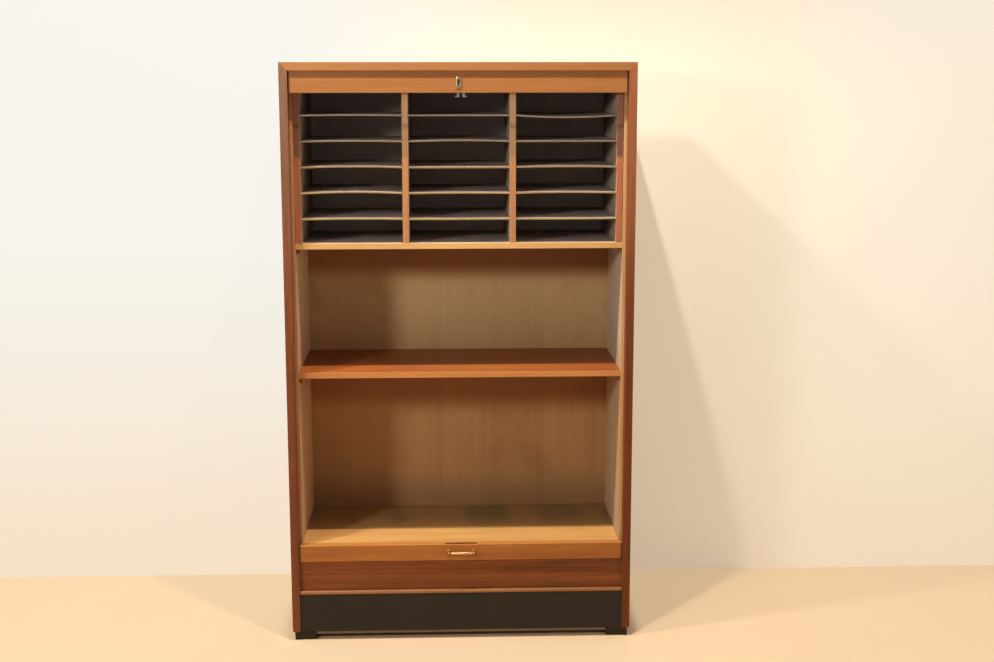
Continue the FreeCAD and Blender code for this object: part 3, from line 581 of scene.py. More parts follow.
JAMB = Wood(
    "jamb", srgb(145, 98, 74), srgb(101, 62, 46), Grain.ALONG_Z, coat=0.08, worn=srgb(170, 118, 84),
    stain=0.2, shift=(0.3, 0.7, 2.3), fibre=0.35)
TEAK_SIDE = Wood(
    "teak_side", srgb(158, 92, 52), srgb(110, 58, 32), Grain.ALONG_Z, coat=0.1, worn=srgb(180, 122, 76),
    stain=0.2, shift=(0.9, 0.4, 3.3), fibre=0.35)
TEAK_SLAT = Wood(
    "teak_slat", srgb(143, 76, 28), srgb(98, 49, 17), contrast=0.9, coat=0.06, worn=srgb(146, 80, 38),
    wear=0.3, shift=(2.6, 0.0, 1.9), fibre=0.35)
SHELF_TOP = Wood(
    "shelf_top", srgb(170, 95, 45), srgb(127, 66, 29), coat=0.06, worn=srgb(190, 122, 70),
    shift=(0.0, 1.0, 0.0), fibre=0.3)
SHELF_EDGE = Wood(
    "shelf_edge", srgb(200, 138, 78), srgb(170, 108, 58), contrast=0.7, worn=srgb(216, 168, 112), stain=0.1,
    shift=(3.0, 0.0, 0.4))
BASE_EDGE = Wood(
    "base_edge", srgb(211, 172, 113), srgb(188, 142, 86), contrast=0.7, worn=srgb(210, 165, 105), wear=0.3,
    stain=0.1, shift=(2.2, 0.0, 0.9))
# The inner floor darkens towards the rear as painted shade under the middle shelf.
FLOOR_BOARD = Wood(
    "floor_board", srgb(217, 168, 100), srgb(182, 131, 72), contrast=0.6, roughness=0.5,
    worn=srgb(232, 186, 122), stain=0.2, rear_shade=0.88, rear_shade_colour=srgb(115, 99, 70), shift=(0.6, 0.8, 0.0))
LINER_LEFT = Wood(
    "liner_left", srgb(185, 131, 86), srgb(158, 102, 62), Grain.ALONG_Z, contrast=0.7,
    worn=srgb(190, 144, 104), stain=0.15, shift=(0.2, 0.0, 1.4))
LINER_RIGHT = Wood(
    "liner_right", srgb(206, 159, 99), srgb(176, 123, 72), Grain.ALONG_Z, contrast=0.7,
    worn=srgb(224, 184, 136), stain=0.15, shift=(1.2, 0.0, 0.4))
LINER_PLY = Wood(
    "liner_ply", srgb(206, 178, 146), srgb(172, 138, 107), Grain.ALONG_Z, contrast=0.5, roughness=0.66,
    wear=0.2, upper_tone=srgb(186, 170, 150), upper_span=(0.75, 1.0), shift=(0.0, 2.7, 0.3), fibre=0.15)
# A lighter copy of the liner ply for the left inner side: painted light.
LEFT_PLY_PAINTED_LIGHT = replace(
    LINER_PLY, name="left_ply", light=srgb(224, 188, 148), dark=srgb(188, 147, 108),
    upper_tone=srgb(204, 180, 150))
BACK_PLY = Wood(
    "back_ply", srgb(190, 146, 98), srgb(156, 112, 72), Grain.ALONG_Z, contrast=0.36, roughness=0.64,
    wear=0.2, stain=0.36, leaf=0.17, upper_tone=srgb(190, 158, 115), upper_span=(0.75, 1.0),
    shift=(0.06, 0.5, 2.4), fibre=0.06)
UNDER_PLY = Wood(
    "under_ply", srgb(122, 82, 50), srgb(94, 60, 35), contrast=0.7, roughness=0.66, wear=0.2, stain=0.3,
    shift=(0.7, 0.9, 0.1), fibre=0.2)
REAR_PLY = Wood(
    "rear_ply", srgb(212, 178, 132), srgb(176, 138, 94), Grain.ALONG_Z, contrast=0.8, roughness=0.7,
    wear=0.3, stain=0.3, leaf=0.32, shift=(0.11, 1.5, 0.4), fibre=0.22)
RAW_WOOD = Wood(
    "raw_wood", srgb(180, 142, 98), srgb(142, 104, 66), contrast=0.9, roughness=0.72, wear=0.2, stain=0.3,
    shift=(0.5, 0.1, 0.1), fibre=0.42)
BATTEN_WOOD = Wood(
    "batten_wood", srgb(134, 116, 88), srgb(102, 84, 60), roughness=0.72, wear=0.2, shift=(1.1, 0.3, 0.2),
    fibre=0.42)
# Dark wood for the rails and panel under the case: painted shade, so the gap under the plinth stays dark.
UNDER_SHADE_WOOD = Wood(
    "stained_wood", srgb(70, 48, 34), srgb(44, 30, 22), roughness=0.72, wear=0.2, fibre=0.42)
PEG_WOOD = Wood("peg_wood", srgb(150, 92, 54), srgb(110, 64, 36), roughness=0.6, wear=0.3, fibre=0.42)
# The front edges of the dividers and of the unit carry painted shade of the lock rail.
DIVIDER_EDGE = Wood(
    "divider_edge", srgb(187, 135, 91), srgb(153, 104, 67), Grain.ALONG_Z, contrast=0.8,
    worn=srgb(206, 160, 120), stain=0.15, shift=(1.2, 0.0, 0.7),
    bands=painted_rail_shade(srgb(135, 104, 78), srgb(198, 160, 122)))
UNIT_EDGE = Wood(
    "unit_edge", srgb(183, 113, 78), srgb(139, 81, 55), Grain.ALONG_Z, worn=srgb(190, 124, 86), stain=0.2,
    shift=(2.1, 0.0, 1.7), bands=painted_rail_shade(srgb(104, 68, 52), srgb(152, 104, 82)), fibre=0.3)
LETTER_EDGE = Wood(
    "letter_edge", srgb(180, 169, 155), srgb(139, 124, 106), contrast=0.9, roughness=0.6, wear=0.4,
    worn=srgb(206, 186, 160), stain=0.2, shift=(0.0, 0.0, 5.1))
# Darker copies of the letter edge for rows two and three: painted shade of the lock rail.
LETTER_PAINTED_SHADE = replace(
    LETTER_EDGE, name="letter_dark", light=srgb(129, 110, 83), dark=srgb(97, 80, 58), wear=0.3,
    worn=srgb(138, 112, 80), shift=(1.3, 0.0, 2.1))
LETTER_PAINTED_HALF_SHADE = replace(
    LETTER_EDGE, name="letter_dusty", light=srgb(150, 120, 84), dark=srgb(114, 87, 57), wear=0.3,
    worn=srgb(165, 128, 88), shift=(2.3, 0.0, 3.1))
LETTER_WARM = replace(
    LETTER_EDGE, name="letter_warm", light=srgb(168, 140, 98), dark=srgb(128, 101, 66),
    worn=srgb(188, 148, 98), shift=(3.3, 0.0, 4.1))
LIPPING = Wood(
    "lipping", srgb(164, 110, 66), srgb(130, 82, 44), contrast=0.8, worn=srgb(176, 124, 78), wear=0.2,
    stain=0.15, shift=(6.0, 0.0, 0.2))
CELL_PAINT = Paint("cell_paint", srgb(168, 156, 152), srgb(188, 176, 172), srgb(176, 150, 122))
# The back of the cells takes a lighter copy of the cell paint: painted light in the cells' depths.
CELL_BACK_PAINTED_LIGHT = Paint("cell_back", srgb(212, 194, 184), srgb(224, 208, 198), srgb(176, 150, 122))
CELL_WALL = Paint("cell_wall", srgb(156, 141, 124), srgb(176, 161, 142), srgb(184, 158, 128))
BLACK_PAINT = Paint(
    "black_paint", srgb(27, 19, 6), srgb(36, 27, 9), srgb(100, 84, 60), roughness=0.6, wear=0.3, scuff=0.12)
BRASS = Metal("brass", srgb(206, 162, 108), srgb(152, 110, 66), roughness=0.48, spread=0.1)
DULL_BRASS = Metal("dull_brass", srgb(164, 116, 66), srgb(112, 78, 42), roughness=0.58, spread=0.1)
NICKEL = Metal("nickel", srgb(186, 160, 124), srgb(134, 106, 76), roughness=0.34, spread=0.3)
STEEL = Metal("steel", srgb(176, 182, 190), srgb(112, 110, 108), roughness=0.32)
RUSTED_STEEL = Metal("rusted_steel", srgb(134, 76, 34), srgb(92, 50, 22), roughness=0.5)
DARK_STEEL = Metal("dark_steel", srgb(74, 60, 48), srgb(46, 38, 30), roughness=0.5)
BACKING = Canvas("backing", srgb(178, 164, 136), srgb(152, 138, 112))


@dataclass(frozen=True)
class Dress:
    """Which finish each side of a board takes; a side that isn't named takes the main one."""

    main: Finish
    front: Finish | None = None
    top: Finish | None = None
    inner: Finish | None = None
    hem: Finish | None = None
    hem_z: float = 0.0
    lip_y: float = -math.inf

    def finishes(self) -> list[Finish]:
        """Returns the finishes in slot order, each once."""
        sides = (self.main, self.front, self.top, self.inner, self.hem)
        return list(dict.fromkeys(finish for finish in sides if finish))

    def slot_for(self, face: BMFace) -> int:
        """Chooses a face's finish by where it lies and the way it looks.

        Args:
            face: face of a board.

        Returns:
            The finish's material slot.
        """
        normal = face.normal
        centre = face.calc_center_median()
        chosen = self.main
        if self.top and normal.z > SQUARE_ON:
            chosen = self.top
        if self.front and normal.z > SQUARE_ON and centre.y < self.lip_y:
            chosen = self.front
        if self.inner and normal.x * centre.x < 0 and abs(normal.x) > SQUARE_ON:
            chosen = self.inner
        if self.front and normal.y < -FORWARDS:
            chosen = self.front
        if self.hem and centre.z < self.hem_z:
            chosen = self.hem
        return self.finishes().index(chosen)

    def cut_lip(self, mesh: BMesh) -> None:
        """Cuts a board where its front finish ends on top, if it reaches over the edge."""
        if math.isfinite(self.lip_y):
            cut_across(mesh, (0, self.lip_y, 0), (0, 1, 0))


def linked(name: str, data: ID) -> Object:
    """Adds an object to the scene.

    Args:
        name: its name.
        data: its mesh, lamp or camera.

    Returns:
        The new object.
    """
    made = bpy.data.objects.new(name, data)
    bpy.context.scene.collection.objects.link(made)
    return made


def cut_across(mesh: BMesh, point: Triple, normal: Triple) -> None:
    """Cuts every face that a plane passes through, and keeps both sides."""
    bmesh.ops.bisect_plane(mesh, geom=mesh.verts[:] + mesh.edges[:] + mesh.faces[:],
                           plane_co=point, plane_no=normal)


def rounded(mesh: BMesh, edges: list[BMEdge], width: float, segments: int) -> list[BMFace]:
    """Rounds edges by a width in metres and returns the faces of the rounding."""
    return bmesh.ops.bevel(mesh, geom=edges, offset=width, offset_type="OFFSET", segments=segments,
                           profile=0.5, affect="EDGES", clamp_overlap=True, material=-1)["faces"]


def eased(mesh: BMesh, width: float, segments: int = 2, least_angle: float = 30.0) -> None:
    """Rounds every sharp edge of a closed mesh and marks the rounding as worn.

    Args:
        mesh: mesh to change.
        width: size of the rounding in metres.
        segments: steps across the rounding.
        least_angle: edges that turn by less, in degrees, stay as they are.
    """
    mark = mesh.faces.layers.float.get(WEAR) or mesh.faces.layers.float.new(WEAR)
    limit = math.radians(least_angle)
    sharp = [edge for edge in mesh.edges if edge.is_manifold and edge.calc_face_angle(0.0) > limit]
    for face in rounded(mesh, sharp, width, segments):
        face[mark] = 1.0


def block(low: Vector, high: Vector) -> BMesh:
    """Makes a box.

    Args:
        low: its lowest corner.
        high: its highest corner.

    Returns:
        The box's mesh.
    """
    mesh = bmesh.new()
    bmesh.ops.create_cube(mesh, size=1.0)
    bmesh.ops.scale(mesh, vec=high - low, verts=mesh.verts)
    bmesh.ops.translate(mesh, vec=(low + high) / 2, verts=mesh.verts)
    return mesh


def turned(profile: Sequence[Span], steps: int = 40) -> BMesh:
    """Spins a profile about -Y.

    Args:
        profile: pairs of distance forwards and radius, from the foot to the tip.
        steps: facets round the piece.

    Returns:
        A closed mesh whose foot is at the origin.
    """
    mesh = bmesh.new()
    points = [mesh.verts.new((radius, -forwards, 0.0)) for forwards, radius in profile]
    edges = [mesh.edges.new(pair) for pair in zip(points, points[1:])]
    bmesh.ops.spin(mesh, geom=points + edges, cent=(0, 0, 0), axis=(0, 1, 0), angle=2 * math.pi,
                   steps=steps, use_merge=True)
    bmesh.ops.remove_doubles(mesh, verts=mesh.verts, dist=MERGE)
    bmesh.ops.recalc_face_normals(mesh, faces=mesh.faces)
    return mesh


def joined(meshes: Iterable[BMesh]) -> BMesh:
    """Puts meshes together.

    Args:
        meshes: meshes to join, freed here.

    Returns:
        One mesh that holds them all.
    """
    whole = bmesh.new()
    for mesh in meshes:
        part = bpy.data.meshes.new("part")
        mesh.to_mesh(part)
        mesh.free()
        whole.from_mesh(part)
        bpy.data.meshes.remove(part)
    return whole


@dataclass
class SubAssembly:
    """A group of pieces that share the loaded frame."""

    frame: dict[str, Any]
    driver_width: float = 0.9 * MM
    driver_depth: float = 0.7 * MM
    driver_turn: float = 2.4
    cap_corners: int = 8
    cap_share: float = 0.9

    def body_of(self, node: str) -> str:
        """Returns the body that a CAD node rides on."""
        bodies = self.frame["record"]["behaviour"]["bodies"]
        return next(body for body, members in bodies.items() if node in members)

    def solid(self, node: str) -> BMesh:
        """Copies a CAD node.

        Args:
            node: node to copy.

        Returns:
            A merged copy of its mesh, with its flat faces made whole.
        """
        mesh = bmesh.new()
        mesh.from_mesh(self.frame["nodes"][node].data)
        bmesh.ops.remove_doubles(mesh, verts=mesh.verts, dist=MERGE)
        bmesh.ops.dissolve_limit(mesh, angle_limit=FLAT, verts=mesh.verts, edges=mesh.edges)
        return mesh

    def keep(self, mesh: BMesh, name: str, dress: Dress, nodes: Sequence[str],
             smooth: float = 40.0, ride: bool = True) -> Object:
        """Turns a mesh into a dressed piece that stands for CAD nodes.

        Args:
            mesh: finished mesh, freed here.
            name: the piece's name.
            dress: finishes by side.
            nodes: CAD nodes that it stands for; the first gives its body.
            smooth: edges that turn by more, in degrees, stay sharp in shading.
            ride: whether it rides on the first node's body.

        Returns:
            The new object.
        """
        mesh.normal_update()
        for face in mesh.faces:
            face.material_index = dress.slot_for(face)
            face.smooth = True
        data = bpy.data.meshes.new(name)
        mesh.to_mesh(data)
        mesh.free()
        for finish in dress.finishes():
            data.materials.append(material_of(finish))
        data.set_sharp_from_angle(angle=math.radians(smooth))
        piece = linked(name, data)
        shading = piece.modifiers.new("flat_faces", "WEIGHTED_NORMAL")
        shading.keep_sharp = True
        if ride:
            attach(piece, self.body_of(nodes[0]))
        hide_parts(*nodes)
        LOG.info("%s: %d faces", name, len(data.polygons))
        return piece

    def ease_node(self, node: str, width: float, dress: Dress, segments: int = 2) -> None:
        """Replaces a CAD node by a copy with rounded edges.

        Args:
            node: node to replace.
            width: size of the rounding in metres.
            dress: finishes by side.
            segments: steps across the rounding.
        """
        mesh = self.solid(node)
        dress.cut_lip(mesh)
        eased(mesh, width, segments)
        self.keep(mesh, node + "_eased", dress, [node])

    def slotted(self, node: str, finish: Finish) -> None:
        """Replaces a CAD node of screws by a copy with a driver's slot across each head.

        Args:
            node: CAD node that holds the screws.
            finish: the screws' metal.
        """
        mesh = self.solid(node)
        caps = [face for face in mesh.faces if len(face.verts) > self.cap_corners]
        least = self.cap_share * max(face.calc_area() for face in caps)
        for index, cap in enumerate([face for face in caps if face.calc_area() > least]):
            normal = cap.normal.copy()
            centre = cap.calc_center_median()
            side = Matrix.Rotation(index * self.driver_turn, 3, normal) @ normal.orthogonal().normalized()
            pieces = [cap]
            for step in (-self.driver_width / 2, self.driver_width / 2):
                parts = {part for face in pieces for part in (face, *face.edges, *face.verts)}
                cut = bmesh.ops.bisect_plane(mesh, geom=list(parts), plane_co=centre + side * step,
                                             plane_no=side)
                pieces = [part for part in cut["geom"] if isinstance(part, BMFace)]
            slot = min(pieces, key=lambda face: (face.calc_center_median() - centre).length)
            sunk = bmesh.ops.extrude_discrete_faces(mesh, faces=[slot])["faces"][0]
            bmesh.ops.translate(mesh, vec=-self.driver_depth * normal, verts=sunk.verts)
        self.keep(mesh, node + "_slotted", Dress(finish), [node])

    def dress_node(self, node: str, finish: Finish) -> None:
        """Gives a CAD node that stays as it is a finish.

        Args:
            node: node to dress.
            finish: its finish.
        """
        data = self.frame["nodes"][node].data
        data.materials.clear()
        data.materials.append(material_of(finish))
        LOG.info("%s: kept", node)


@dataclass
class Carcass(SubAssembly):
    """Sides, top, backs, inner sides, shelves and floor."""

    panel_round: float = 1.3 * MM
    board_round: float = 0.9 * MM
    thin_round: float = 0.5 * MM
    lip: float = 12.0 * MM
    left_heel: float = 7.0 * MM
    right_heel: float = 3.0 * MM
    heel_steps: int = 4
    # Painted shade on the back under each shelf: the shelf, how far down the shade reaches, and its share.
    painted_shelf_shades: tuple[tuple[str, float, float], ...] = (
        ("base_shelf", 86.0 * MM, 0.85),
        ("middle_shelf", 122.0 * MM, 0.75),
    )
    painted_shade_fade: float = 75.0 * MM
    painted_shade_colour: Colour = srgb(142, 84, 46)
    # A band of the back that is darker just above the floor: its rise, fade, share and colour.
    foot_rise: float = 10.0 * MM
    foot_fade: float = 120.0 * MM
    foot_share: float = 0.6
    foot_colour: Colour = srgb(132, 98, 64)

    def build(self) -> None:
        """Makes the case's boards."""
        self._side("left", EDGE_LEFT, self.left_heel)
        self._side("right", EDGE_RIGHT, self.right_heel)
        self.ease_node("inner_side_left", self.thin_round, Dress(LEFT_PLY_PAINTED_LIGHT, front=LINER_LEFT))
        self.ease_node("inner_side_right", self.thin_round, Dress(LINER_PLY, front=LINER_RIGHT))
        self.ease_node("top_panel", self.panel_round, Dress(TEAK_TOP))
        self.ease_node("lock_rail", self.board_round, Dress(TEAK_RAIL))
        self.ease_node("inner_back", self.thin_round, Dress(self._back_ply()))
        self.ease_node("outer_back", self.thin_round, Dress(REAR_PLY))
        lip_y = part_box("base_shelf")[0].y + self.lip
        self.ease_node("base_shelf", self.board_round,
                       Dress(UNDER_PLY, front=BASE_EDGE, top=CELL_PAINT, lip_y=lip_y))
        self.ease_node("middle_shelf", self.board_round, Dress(UNDER_PLY, front=SHELF_EDGE, top=SHELF_TOP))
        self.ease_node("inner_floor", self.board_round, Dress(RAW_WOOD, front=FLOOR_BOARD, top=FLOOR_BOARD))
        self.ease_node("shelf_pegs", self.thin_round, Dress(PEG_WOOD))
        self.dress_node("floor_bearers", RAW_WOOD)
        self.slotted("back_screws", STEEL)

    def _back_ply(self) -> Wood:
        """Gives the plywood of the back painted shade under the shelves and a darker band above the floor.

        Returns:
            The wood, with painted shade under the shelves and darker just above the floor.
        """
        bands = []
        for shelf, drop, share in self.painted_shelf_shades:
            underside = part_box(shelf)[0].z
            bands.append(Band(underside - drop, underside, self.painted_shade_fade, MM, self.painted_shade_colour, share))
        floor_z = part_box("inner_floor")[1].z
        bands.append(Band(floor_z, floor_z + self.foot_rise, MM, self.foot_fade, self.foot_colour,
                          self.foot_share))
        return replace(BACK_PLY, bands=tuple(bands))

    def _side(self, side: str, edge: Finish, heel: float) -> None:
        """Makes a side panel whose outer lower corner is worn round.

        Args:
            side: left or right.
            edge: finish of the front edge.
            heel: size of the worn corner in metres.
        """
        node = "side_panel_" + side
        mesh = self.solid(node)
        low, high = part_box(node)
        outer = low.x if side == "left" else high.x
        worn = [line for line in mesh.edges
                if all(abs(end.co.z - low.z) < MM and abs(end.co.x - outer) < MM for end in line.verts)]
        rounded(mesh, worn, heel, self.heel_steps)
        eased(mesh, self.panel_round)
        self.keep(mesh, node + "_eased", Dress(TEAK_SIDE, front=edge, inner=JAMB), [node])


@dataclass
class Base(SubAssembly):
    """Plinth, lipping, feet and the rails and panel under the case."""

    board_round: float = 1.0 * MM
    panel_round: float = 0.6 * MM
    lipping_round: float = 4.5 * MM
    lipping_steps: int = 6
    foot_round: float = 1.5 * MM

    def build(self) -> None:
        """Makes the base; the batten that hangs below the plinth is left raw."""
        hem_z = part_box("plinth_board")[0].z - MM
        self.ease_node("plinth_board", self.board_round, Dress(BLACK_PAINT))
        self.ease_node("plinth_lipping", self.lipping_round, Dress(LIPPING), self.lipping_steps)
        self.ease_node("feet", self.foot_round, Dress(BLACK_PAINT))
        self.ease_node("bottom_rails", self.board_round, Dress(UNDER_SHADE_WOOD, hem=BATTEN_WOOD, hem_z=hem_z))
        self.ease_node("dust_panel", self.panel_round, Dress(UNDER_SHADE_WOOD))
        self.slotted("foot_screws", STEEL)


@dataclass
class Pigeonholes(SubAssembly):
    """Letter unit with its dividers and its thin, slightly bowed shelves."""

    edge_round: float = 0.8 * MM
    shelf_round: float = 0.5 * MM
    stations: int = 24
    rear_share: float = 0.35
    lip: float = 14.0 * MM
    notch_x: float = 17.0 * MM
    notch_half: float = 3.0 * MM
    notch_depth: float = 2.6 * MM
    bows: tuple[tuple[str, tuple[float, ...]], ...] = (
        ("left", (1.5, 2.0, 3.2, 4.5, 1.6)),
        ("middle", (0.0, 3.0, -0.3, 1.2, -0.7)),
        ("right", (-6.0, 0.2, 2.0, 2.5, -0.5)),
    )
    # Rows two and three take painted shade of the lock rail.
    edges: tuple[Wood, ...] = (LETTER_EDGE, LETTER_PAINTED_SHADE, LETTER_PAINTED_HALF_SHADE, LETTER_WARM, LETTER_WARM)
    notched: tuple[str, ...] = ("letter_shelf_middle_3", "letter_shelf_middle_4")

    def build(self) -> None:
        """Makes the unit."""
        for side in ("left", "right"):
            self.ease_node("pigeonhole_side_" + side, self.edge_round, Dress(CELL_WALL, front=UNIT_EDGE))
            self.ease_node("divider_" + side, self.edge_round, Dress(CELL_WALL, front=DIVIDER_EDGE))
        self.ease_node("pigeonhole_top", self.edge_round, Dress(CELL_PAINT, front=UNIT_EDGE))
        self.ease_node("pigeonhole_back", self.shelf_round, Dress(CELL_BACK_PAINTED_LIGHT))
        for column, bows in self.bows:
            for row, bow in enumerate(bows, start=1):
                self._letter_shelf(f"letter_shelf_{column}_{row}", bow * MM, self.edges[row - 1])

    def _letter_shelf(self, node: str, bow: float, edge: Wood) -> None:
        """Makes one thin shelf, bowed between its ends.

        Args:
            node: CAD node of the shelf.
            bow: rise of the middle of its front in metres.
            edge: finish of its front edge.
        """
        low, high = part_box(node)
        mesh = block(low, high)
        dress = Dress(CELL_PAINT, front=edge, lip_y=low.y + self.lip)
        dress.cut_lip(mesh)
        lengthwise = [line for line in mesh.edges if abs(line.verts[0].co.x - line.verts[1].co.x) > MM]
        bmesh.ops.subdivide_edges(mesh, edges=lengthwise, cuts=self.stations, use_grid_fill=True)
        if node in self.notched:
            for x in (self.notch_x - self.notch_half, self.notch_x, self.notch_x + self.notch_half):
                cut_across(mesh, (x, 0, 0), (1, 0, 0))
        eased(mesh, self.shelf_round)
        middle = (low.x + high.x) / 2
        half = (high.x - low.x) / 2
        for vertex in mesh.verts:
            along = (vertex.co.x - middle) / half
            inwards = (vertex.co.y - low.y) / (high.y - low.y)
            reach = 1.0 + (self.rear_share - 1.0) * inwards
            near_front = vertex.co.y < low.y + MM
            if node in self.notched and near_front and abs(vertex.co.x - self.notch_x) < self.notch_half / 2:
                vertex.co.y += self.notch_depth
            vertex.co.z += bow * (1.0 - along * along) * reach
        self.keep(mesh, node + "_eased", dress, [node])


@dataclass
class Lock(SubAssembly):
    """Escutcheon, jaws and the works inside the lock rail.

    Each loop of the escutcheon gives its width, its height and how proud it stands, all in
    millimetres, and the share of its width that is left at its foot.
    """

    facets: int = 48
    jaw_round: float = 0.35 * MM
    dome_smooth: float = 60.0
    loops: tuple[tuple[float, float, float, float], ...] = (
        (19.0, 36.0, 0.0, 1.0),
        (19.0, 36.0, 0.9, 1.0),
        (18.2, 35.2, 1.9, 1.0),
        (15.6, 32.4, 2.7, 1.0),
        (10.4, 26.4, 2.8, 0.95),
        (6.0, 20.2, 2.75, 0.72),
        (4.8, 18.6, 2.5, 0.62),
        (4.8, 18.6, 0.0, 0.62),
    )

    def build(self) -> None:
        """Makes the lock."""
        self._escutcheon()
        for jaw in ("jaw_left", "jaw_right"):
            self.ease_node(jaw, self.jaw_round, Dress(STEEL))
        for node in ("lock_case", "lock_cover"):
            self.dress_node(node, STEEL)
        self.dress_node("lock_tumbler", DARK_STEEL)
        self.slotted("lock_screws", STEEL)

    def _escutcheon(self) -> None:
        """Makes the domed oval plate from rings that narrow to the keyhole."""
        low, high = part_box("escutcheon")
        foot_y = low.y + max(proud for _, _, proud, _ in self.loops) * MM
        centre = Vector(((low.x + high.x) / 2, foot_y, (low.z + high.z) / 2))
        mesh = bmesh.new()
        rings = []
        for width, height, proud, foot in self.loops:
            ring = bmesh.ops.create_circle(mesh, segments=self.facets, radius=width / 2 * MM)["verts"]
            straight = (height - width) / 2 * MM
            for vertex in ring:
                x, z = vertex.co.x, vertex.co.y
                narrow = foot if z < 0 else 1.0
                vertex.co = centre + Vector((x * narrow, -proud * MM, z + math.copysign(straight, z)))
            rings.append(ring)
        for outer, inner in zip(rings, rings[1:]):
            edges = [edge for edge in mesh.edges if all(v in outer or v in inner for v in edge.verts)]
            bmesh.ops.bridge_loops(mesh, edges=edges)
        bmesh.ops.recalc_face_normals(mesh, faces=mesh.faces)
        self.keep(mesh, "escutcheon_dome", Dress(NICKEL), ["escutcheon"], self.dome_smooth)


@dataclass
class Shutter(SubAssembly):
    """Lead rail with its pull bar and strike, the slats, their canvas and the feed out of the track.

    The post's profile is in millimetres forwards and of radius; the bar's outline is in shares of its
    length and radius.
    """

    rail_round: float = 1.2 * MM
    strike_round: float = 0.3 * MM
    slat_round: float = 0.35 * MM
    slat_gap: float = 0.3 * MM
    pitch: float = 15.0 * MM
    feed_slats: int = 92
    halvings: int = 48
    cloth: float = 1.0 * MM
    cloth_round: float = 0.2 * MM
    bend_radius: float = 57.0 * MM
    turned_smooth: float = 50.0
    post_profile: tuple[Span, ...] = (
        (0.0, 0.0), (0.0, 8.6), (1.5, 8.6), (2.2, 8.3), (2.8, 7.5), (3.0, 6.8), (3.4, 5.8),
        (4.2, 5.1), (6.0, 4.8), (9.5, 4.6), (11.6, 5.0), (12.6, 5.6), (14.0, 6.1), (16.0, 6.45),
        (18.0, 6.5), (20.0, 6.2), (22.0, 5.1), (23.4, 3.5), (24.2, 1.8), (24.5, 0.0),
    )
    bar_outline: tuple[Span, ...] = (
        (-0.02, 0.0), (-0.02, 0.86), (0.03, 0.87), (0.12, 0.9), (0.3, 0.96), (0.5, 1.0),
        (0.7, 0.96), (0.88, 0.9), (0.97, 0.87), (1.02, 0.86), (1.02, 0.0),
    )

    def build(self) -> None:
        """Makes the shutter."""
        self.ease_node("lead_rail", self.rail_round, Dress(TEAK_LEAD, top=LEAD_TOP))
        self.ease_node("strike_plate", self.strike_round, Dress(RUSTED_STEEL))
        self.slotted("strike_screws", RUSTED_STEEL)
        self.dress_node("handle_screws", STEEL)
        self._front_slats()
        self._feed()
        self._posts()
        self._bar()
        self._canvas()
        self.dress_node("stored_slats", TEAK_SLAT)
        self.dress_node("shutter_stops", RAW_WOOD)

    def _slats(self, low: Vector, high: Vector, pitch: float, count: int) -> BMesh:
        """Makes an upright run of slats.

        Args:
            low: lowest corner of the first slat.
            high: corner that gives the slats' far end and back.
            pitch: height of a slat with its gap.
            count: number of slats.

        Returns:
            All of them in one mesh.
        """
        slats = []
        for index in range(count):
            base = low.z + index * pitch
            slat = block(Vector((low.x, low.y, base + self.slat_gap / 2)),
                         Vector((high.x, high.y, base + pitch - self.slat_gap / 2)))
            eased(slat, self.slat_round, segments=1)
            slats.append(slat)
        return joined(slats)

    def _front_slats(self) -> None:
        """Makes the slats that hang from the lead rail."""
        low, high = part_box("front_slats")
        start = Vector((low.x, low.y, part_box("front_canvas")[0].z))
        count = round((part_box("lead_rail")[0].z - start.z) / self.pitch)
        mesh = self._slats(start, high, self.pitch, count)
        self.keep(mesh, "front_slats_eased", Dress(TEAK_SLAT), ["front_slats"])

    def _feed(self) -> None:
        """Makes the slats that follow out of the track, gathered as they lie at rest."""
        low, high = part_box("feed_slat")
        slide = next(joint for joint in self.frame["joints"] if joint["name"] == "shutter_slide")
        travel = slide["range_m"][1]
        gathered = high.z - low.z
        reach = gathered + travel
        back = Vector((high.x, high.y - self.cloth, high.z))
        mesh = self._slats(low, back, reach / self.feed_slats, self.feed_slats)
        for vertex in mesh.verts:
            vertex.co.z = low.z + gathered * self._gather((vertex.co.z - low.z) / reach, gathered, travel)
        piece = self.keep(mesh, "feed_slats", Dress(TEAK_SLAT), ["feed_slat"], ride=False)
        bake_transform(piece)

    def _gather(self, share: float, gathered: float, travel: float) -> float:
        """Finds where a point is kept at rest so that it comes to an even place when drawn out.

        Args:
            share: its place along the drawn-out length, from 0 to 1.
            gathered: length at rest.
            travel: length that is drawn out.

        Returns:
            Its place along the length at rest, from 0 to 1.
        """
        least, most = 0.0, 1.0
        for _ in range(self.halvings):
            middle = (least + most) / 2
            drawn = middle * gathered + middle * middle * (3 - 2 * middle) * travel
            if drawn < share * (gathered + travel):
                least = middle
            else:
                most = middle
        return (least + most) / 2

    def _posts(self) -> None:
        """Makes the two turned posts of the pull."""
        low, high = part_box("handle_posts")
        height = (low.z + high.z) / 2
        span = high.x - low.x - (high.z - low.z)
        posts = []
        for side in (-1, 1):
            post = turned([(forwards * MM, radius * MM) for forwards, radius in self.post_profile])
            bmesh.ops.translate(post, vec=(side * span / 2, high.y, height), verts=post.verts)
            posts.append(post)
        self.keep(joined(posts), "handle_posts_turned", Dress(DULL_BRASS), ["handle_posts"],
                  self.turned_smooth)

    def _bar(self) -> None:
        """Makes the slightly swelled bar between the posts."""
        low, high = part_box("handle_bar")
        length = high.x - low.x
        radius = (high.z - low.z) / 2
        bar = turned([(share * length, size * radius) for share, size in self.bar_outline])
        sideways = Matrix.Rotation(math.radians(90), 3, "Z")
        bmesh.ops.rotate(bar, cent=(0, 0, 0), matrix=sideways, verts=bar.verts)
        post_low, post_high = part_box("handle_posts")
        start = (low.x, (low.y + high.y) / 2, (post_low.z + post_high.z) / 2)
        bmesh.ops.translate(bar, vec=start, verts=bar.verts)
        self.keep(bar, "handle_bar_turned", Dress(BRASS), ["handle_bar"], self.turned_smooth)

